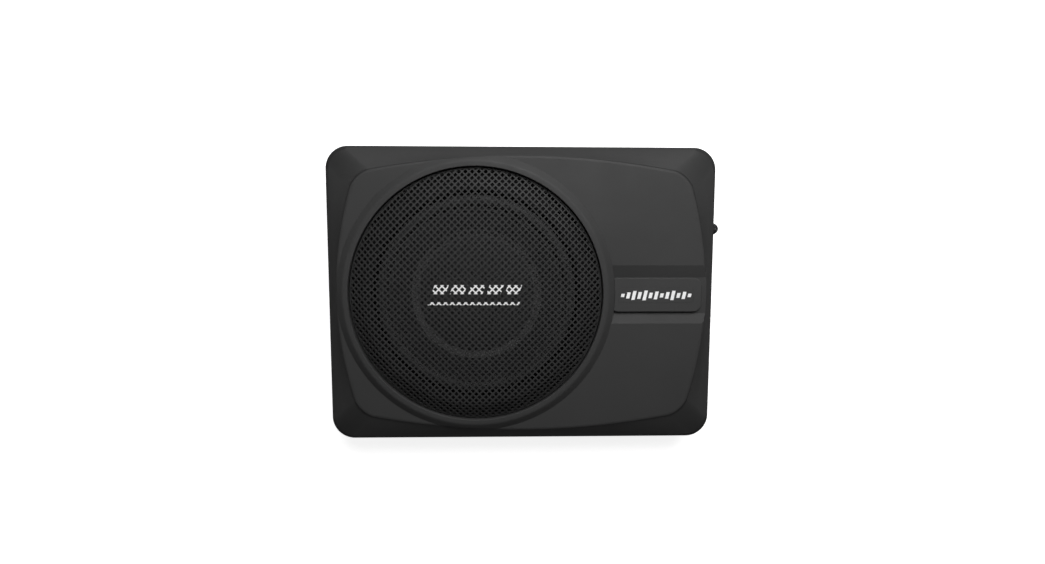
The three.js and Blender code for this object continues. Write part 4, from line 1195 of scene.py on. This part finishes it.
def make_trim():
    """The foam ring that covers the surround's edge."""
    inner, outer, low, high = 99.6, 109.8, SEAT_Z + 1.1, SEAT_Z + 4.3
    foot = 106.3
    trim = [(inner, low), (foot, low), (foot, SEAT_Z), (outer, SEAT_Z, 0.2), (outer, high, 0.9),
            (inner, high, 0.9)]
    finish_piece(lathe("trim_gasket", soften(trim, 5), AXIS), TRIM, replaces=("trim_ring",))


def make_spider():
    cloth = lathe("spider_disc", sheet_profile(spider_line(), SKIN), AXIS, 96)
    finish_piece(cloth, SPIDER, body=None, replaces=("spider",))
    blend_by_radius(cloth)


def make_cone():
    """The cone, with a step outside its dust cap, and the cap, which is part of a sphere."""
    line = smooth_line([(COIL_R + 0.3, 47.2), (30, 47.9), (44, 50.2), (57, 52.2), (CONE_STEP_R - 0.4, 55.8),
                        (73, 56.8), (81.7, 57.5), (84.3, 57.6)])
    line = [(radius, min(z, SEAT_Z - 0.3)) for radius, z in line]
    cone = lathe("cone_body", sheet_profile(line, 1.1), AXIS)
    finish_piece(cone, PAPER, body="cone_assembly", replaces=("cone",))
    low, high = (corner.z for corner in node_box("dust_cap"))
    rise, reach = high - low - 1, 56.0
    sphere = (reach**2 + rise**2) / (2 * rise)
    dome = []
    for k in range(25):
        radius = reach * k / 24
        dome.append((radius, high - sphere + math.sqrt(sphere**2 - radius**2)))
    cap = lathe("dust_dome", sheet_profile(dome, 1.0), AXIS)
    finish_piece(cap, CAP, body="cone_assembly", replaces=("dust_cap",))


def basket_windows(low, high):
    """Tools for six openings between the basket's arms, each wider outside than inside."""
    tools = []
    for middle in range(30, 360, 60):
        flat = [(95.5, middle - 19 + 38 * k / 12) for k in range(13)]
        flat += [(70, middle + 17 - 34 * k / 8) for k in range(9)]
        ring = [(r * math.cos(math.radians(a)), r * math.sin(math.radians(a))) for r, a in flat]
        tools.append(loft("window", [[(x, y, z) for x, y in ring] for z in (low, high)], AXIS))
    return tools


def make_basket():
    """The frame: a floor on the top plate, a step for the spider, a sloping wall and the flange."""
    plate_top = node_box("top_plate")[1].z
    bowl = [
        (34, plate_top + 0.3), (62.5, plate_top + 0.3, 1), (66, 35, 1), (84, 41, 2), (99.5, 50, 1.5),
        (100.6, FLANGE_LOW, 0.6), (119.2, FLANGE_LOW, 0.3), (119.2, FLANGE_TOP, 0.4), (98.8, FLANGE_TOP, 0.8),
        (97.6, 51.6, 1), (82.7, 43, 2), (69, 38.6, 1), (66, 43, 0.3), (58.5, 43, 0.3),
        (58.5, plate_top + 2.3, 0.5), (34, plate_top + 2.3, 0.4),
    ]
    basket = lathe("basket_frame", soften(bowl, 3), AXIS, 144)
    tools = basket_windows(plate_top, FLANGE_LOW - 1.5)
    tools += screw_holes(DRIVER_SCREWS, FLANGE_LOW - 1, FLANGE_TOP + 1)
    finish_piece(cut(basket, *tools), BASKET, replaces=("basket",))


def make_driver_screws():
    for i, place in enumerate(DRIVER_SCREWS):
        centre = (place.x, place.y)
        seat, tip = SEAT_Z, FLANGE_TOP - 11
        profile = [(0, tip), (1.7, tip), (1.7, seat), (3.2, seat, 0.2), (3.2, seat + 1.3, 0.7),
                   (2, seat + 2.2, 0.7), (0, seat + 2.2)]
        tools = cross_tool(seat + 0.6, seat + 2.4, 1.9, 0.8, centre)
        make_screw(f"flange_screw_{i + 1}", soften(profile, 4), centre, tools, (f"driver_screw_{i + 1}",))


# ------------------------------------------------------------------ control end

PHONO_SIDE = 7 # how far each phono socket is from their middle


def front_of(node):
    """Where a socket's middle is along the panel, and how wide and how high its front is."""
    low, high = node_box(node)
    return (low.y + high.y) / 2, high.y - low.y, 2 * (high.z - CONTROL_Z)


def panel_openings():
    """Tools for everything that passes through the control panel."""
    x0, x1 = PANEL_LOW.x - 1, PANEL_HIGH.x + 1
    phono_y = middle_of("phono_sockets").y
    lamp = middle_of("power_lamp")
    holes = [(SCREW_HOLE_R, place.y, CONTROL_Z, 32) for place in PANEL_SCREWS]
    holes.append((4.0, middle_of("level_knob").y, CONTROL_Z, 48))
    holes += [(3.6, middle_of(dial).y, CONTROL_Z, 48) for dial in ("crossover_dial", "bass_dial")]
    holes.append((1.95, lamp.y, lamp.z, 32))
    holes += [(5.3, phono_y + side, CONTROL_Z, 48) for side in (-PHONO_SIDE, PHONO_SIDE)]
    tools = [end_rod("hole", radius, x0, x1, y, z, sides) for radius, y, z, sides in holes]
    tools.append(end_box("slot", x0, x1, middle_of("phase_switch").y, CONTROL_Z, 9.6, 4))
    for node in ("high_level_socket", "power_socket", "fuse_holder"):
        y, span_y, span_z = front_of(node)
        tools.append(end_box("opening", x0, x1, y, CONTROL_Z, span_y + 0.6, span_z + 0.6))
    return tools


def make_panel():
    plate = cut(box("panel_plate", PANEL_LOW, PANEL_HIGH), *panel_openings())
    finish_piece(round_edges(plate, 0.25, 2), PANEL, replaces=("control_panel",))
    for i, place in enumerate(PANEL_SCREWS):
        seat = PANEL_HIGH.x + 0.3
        profile = [(0, seat - 6), (1.7, seat - 6), (1.7, seat), (3.2, seat, 0.15), (3.2, seat + 1, 0.6),
                   (2.2, seat + 1.7, 0.6), (0, seat + 1.7)]
        centre = (place.y, place.z)
        tools = [end_box("arm", seat + 0.6, seat + 3, *centre, *span) for span in ((3.4, 0.8), (0.8, 3.4))]
        make_screw(f"end_screw_{i + 1}", soften(profile, 4), centre, tools, (f"panel_screw_{i + 1}",), "X")


def ticks(name, y, radius, long, count, sweep):
    """Printed marks round a control, raised a hair above the panel. The middle and the ends are longer."""
    wide = 0.22
    marks = []
    for k in range(count):
        angle = math.radians(90 + sweep - 2 * sweep * k / (count - 1))
        size = long if k in (0, count // 2, count - 1) else long * 0.6
        ay, az = math.cos(angle), math.sin(angle)
        flat = [(radius, -wide), (radius + size, -wide), (radius + size, wide), (radius, wide)]
        ring = [(y + r * ay - s * az, CONTROL_Z + r * az + s * ay) for r, s in flat]
        ends = [[(PANEL_X + lift, py, pz) for py, pz in ring] for lift in (-0.02, 0.05)]
        marks.append(block("tick", *ends))
    finish_piece(merge(name, marks), PRINT)


def make_knob():
    """A ribbed knob with a collar, a domed end, a groove in its side and a mark in the groove."""
    y, z = middle_of("level_knob").y, CONTROL_Z
    start, end = PANEL_X + 1.5, KNOB_HIGH.x
    radius = 6.3

    def flute(angle, r, height):
        """Fine ribs round the grip."""
        if not start + 1.8 < height < end - 5 or r < 5:
            return r
        return r - 0.22 * (0.5 + 0.5 * math.cos(30 * angle)) ** 2

    profile = [
        (0, start), (radius + 0.5, start, 0.2), (radius + 0.5, start + 1.1, 0.3), (radius, start + 1.6),
        (radius, start + 2), (radius - 0.5, end - 5.6, 0.3), (radius - 0.7, end - 4.5, 0.6),
        (radius - 1.4, end - 3.1, 0.7), (radius - 2.6, end - 1.7, 0.8), (radius - 4.2, end - 0.6, 0.8),
        (0, end),
    ]
    knob = lathe("level_cap", soften(profile, 4), (y, z), 240, "X", flute)
    shaft = end_rod("shaft", 1.5, KNOB_LOW.x + 0.2, start + 1, y, z)
    groove = end_box("groove", end - 5.6, end, y, z + radius, 0.9, 3.6)
    finish_piece(cut(join(knob, shaft), groove), KNOB, "level_control", ("level_knob",))
    line = end_box("level_mark", end - 5.4, end - 3.3, y, z + radius - 2.05, 0.8, 0.6)
    finish_piece(round_edges(line, 0.1, 1), MARK, "level_control")
    ticks("level_scale", y, 8.2, 1.8, 11, 150)


def make_dial(name):
    """A trimmer dial with a slot for a screwdriver and an arrow."""
    low, high = node_box(f"{name}_dial")
    y, z = (low.y + high.y) / 2, CONTROL_Z
    profile = soften([(0, low.x), (3.2, low.x), (3.2, high.x, 0.35), (0, high.x)], 4)
    dial = lathe(f"{name}_trim", profile, (y, z), 64, "X")
    slot = end_box("slot", high.x - 1.2, high.x + 1, y, z, 1, 5.2)
    arrow = end_box("arrow", high.x - 0.5, high.x + 1, y, z + 2.4, 2.2, 0.8)
    dial = round_edges(cut(dial, slot, arrow), 0.08, 1)
    finish_piece(dial, DIAL, f"{name}_control", (f"{name}_dial",))
    ticks(f"{name}_scale", y, 4.6, 1.4, 11, 140)


def make_slider():
    low, high = node_box("phase_slider")
    ribs = []
    for k in range(3):
        y = low.y + (high.y - low.y) * (k + 1) / 4
        ribs.append(end_box("groove", high.x - 0.5, high.x + 1, y, CONTROL_Z, 0.4, 4))
    slider = round_edges(cut(box("phase_lever", low, high), *ribs), 0.12, 2)
    finish_piece(slider, BLACK, "phase_control", ("phase_slider",))


def make_lamp():
    low, high = node_box("power_lamp")
    profile = [(0, low.x), (1.7, low.x), (1.7, high.x - 1, 0.4), (1.2, high.x - 0.2, 0.5), (0, high.x)]
    centre = ((low.y + high.y) / 2, (low.z + high.z) / 2)
    lamp = lathe("lamp_dome", soften(profile, 5), centre, 40, "X")
    finish_piece(lamp, LAMP, replaces=("power_lamp",))


def make_socket(name, node, material, pins, key):
    """A square housing with a rounded pocket, a polarising notch and a contact for each pin."""
    low, high = node_box(node)
    y, span_y, span_z = front_of(node)
    housing = end_box(name, low.x, high.x, y, CONTROL_Z, span_y, span_z)
    pocket = end_box("pocket", high.x - 11, high.x + 1, y, CONTROL_Z, span_y - 3, span_z - 3)
    notch = end_box("notch", high.x - 6, high.x + 1, y, CONTROL_Z + span_z / 2 - 1, key, 1.6)
    housing = round_edges(cut(housing, pocket, notch), 0.35, 3)
    leg_z = (low.z + CONTROL_Z) / 2 - 3
    leg = end_box("leg", low.x, low.x + 6, y, leg_z, span_y - 4, CONTROL_Z - low.z - 6.4)
    housing = merge(name, [housing, round_edges(leg, 0.3, 2)])
    finish_piece(housing, material, replaces=(node,))
    blades = []
    for dy, dz in pins:
        blades.append(end_box("blade", high.x - 10.9, high.x - 5.5, y + dy, CONTROL_Z + dz, 1.2, 1.2))
    finish_piece(round_edges(merge(f"{name}_contacts", blades), 0.25, 2), BRASS)


def make_sockets():
    wide = [(-5, 0), (-1.7, 0), (1.7, 0), (5, 0)]
    square = [(-3.5, 3.5), (3.5, 3.5), (-3.5, -3.5), (3.5, -3.5)]
    make_socket("speaker_level_socket", "high_level_socket", NYLON, wide, 5)
    make_socket("supply_socket", "power_socket", BLACK, square, 6)


def make_phonos():
    """The block behind the panel, and in it a coloured flange, a plated barrel and a coloured core, twice."""
    low, high = node_box("phono_sockets")
    y = (low.y + high.y) / 2
    back, face = PANEL_LOW.x - 0.3, PANEL_X + 1
    start = back - 5
    base = box("phono_base", low, (back, high.y, high.z))
    bores = [end_rod("bore", 4.4, start, back + 1, y + side, CONTROL_Z) for side in (-PHONO_SIDE, PHONO_SIDE)]
    base = round_edges(cut(base, *bores), 0.4, 2)
    finish_piece(base, BLACK, replaces=("phono_sockets",))
    flange = [(3.9, back - 2), (5, back - 2), (5, face, 0.3), (3.9, face, 0.2)]
    barrel = [(3.1, start), (3.8, start), (3.8, face + 0.1), (4.15, face + 0.2, 0.2),
              (4.15, high.x - 0.6, 0.3), (3.9, high.x, 0.2), (3.5, high.x, 0.2), (3.1, high.x - 0.6)]
    core = [(1.6, start), (3.1, start), (3.1, high.x - 1.2, 0.2), (1.7, high.x - 1.2, 0.2),
            (1.6, high.x - 1.6)]
    for i, (side, colour) in enumerate(((PHONO_SIDE, WHITE), (-PHONO_SIDE, RED))):
        parts = (("flange", flange, 64, colour), ("barrel", barrel, 64, NICKEL), ("core", core, 48, colour))
        for part, profile, sides, material in parts:
            turned = lathe(f"phono_{part}_{i + 1}", soften(profile, 3), (y + side, CONTROL_Z), sides, "X")
            finish_piece(turned, material)


def make_fuse_bay():
    low, high = node_box("fuse_holder")
    y, span_y, span_z = front_of("fuse_holder")
    floor = 15
    holder = end_box("fuse_bay", low.x, high.x, y, CONTROL_Z, span_y, span_z)
    bay = end_box("bay", PANEL_X - 9, high.x + 2, y, CONTROL_Z, 4.6, 17.6)
    holder = round_edges(cut(holder, bay), 0.3, 2)
    leg = end_box("leg", low.x, low.x + 5, y, (low.z + floor) / 2, 5, floor - low.z)
    finish_piece(merge("fuse_bay", [holder, leg]), BLACK, replaces=("fuse_holder",))


def make_fuse():
    """The fuse's cap, with a dent over each blade and one between them, and its two blades."""
    y = front_of("fuse_holder")[0]
    low, high = node_box("blade_fuse")
    cap = end_box("fuse_cap", PANEL_X - 4, high.x, y, CONTROL_Z, high.y - low.y, high.z - low.z)
    dents, blades = [], []
    for z in (CONTROL_Z - 5.5, CONTROL_Z + 5.5):
        dents.append(end_box("dent", high.x - 0.6, high.x + 1, y, z, 2.2, 3))
        blades.append(end_box("blade", low.x, PANEL_X - 3.9, y, z, 0.8, 4.6))
    dents.append(end_box("dent", high.x - 0.4, high.x + 1, y, CONTROL_Z, 3, 4.4))
    finish_piece(round_edges(cut(cap, *dents), 0.3, 3), FUSE, replaces=("blade_fuse",))
    finish_piece(round_edges(merge("fuse_blades", blades), 0.15, 2), ZINC)


# ------------------------------------------------------------------ pieces kept as the CAD made them

KEPT = [
    (ALUMINIUM, ("coil_former", "heat_spreader")),
    (BLACK, ("terminal_block", "power_transistor_1", "power_transistor_2", "capacitor")),
    (BLACK_WIRE, ("speaker_wire_2",)),
    (BOARD, ("amp_board",)),
    (COPPER, ("voice_coil", "inductor")),
    (FERRITE, ("magnet", "transformer")),
    (FOAM, ("driver_gasket",)),
    (RED_WIRE, ("speaker_wire_1",)),
    (ZINC, ("top_plate", "back_plate", "level_pot", "crossover_pot", "bass_pot", "phase_switch")),
]


def paint_kept():
    for material, nodes in KEPT:
        for node in nodes:
            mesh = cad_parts[node].data
            mesh.materials.clear()
            mesh.materials.append(material)


make_shell()
make_base()
make_gasket()
make_base_screws()
make_feet()
make_badge()
make_grille_sheet()
make_grille_rim()
make_surround()
make_spider()
make_cone()
make_trim()
make_basket()
make_driver_screws()
make_leads()
make_panel()
make_knob()
make_dial("crossover")
make_dial("bass")
make_slider()
make_lamp()
make_sockets()
make_phonos()
make_fuse_bay()
make_fuse()
paint_kept()
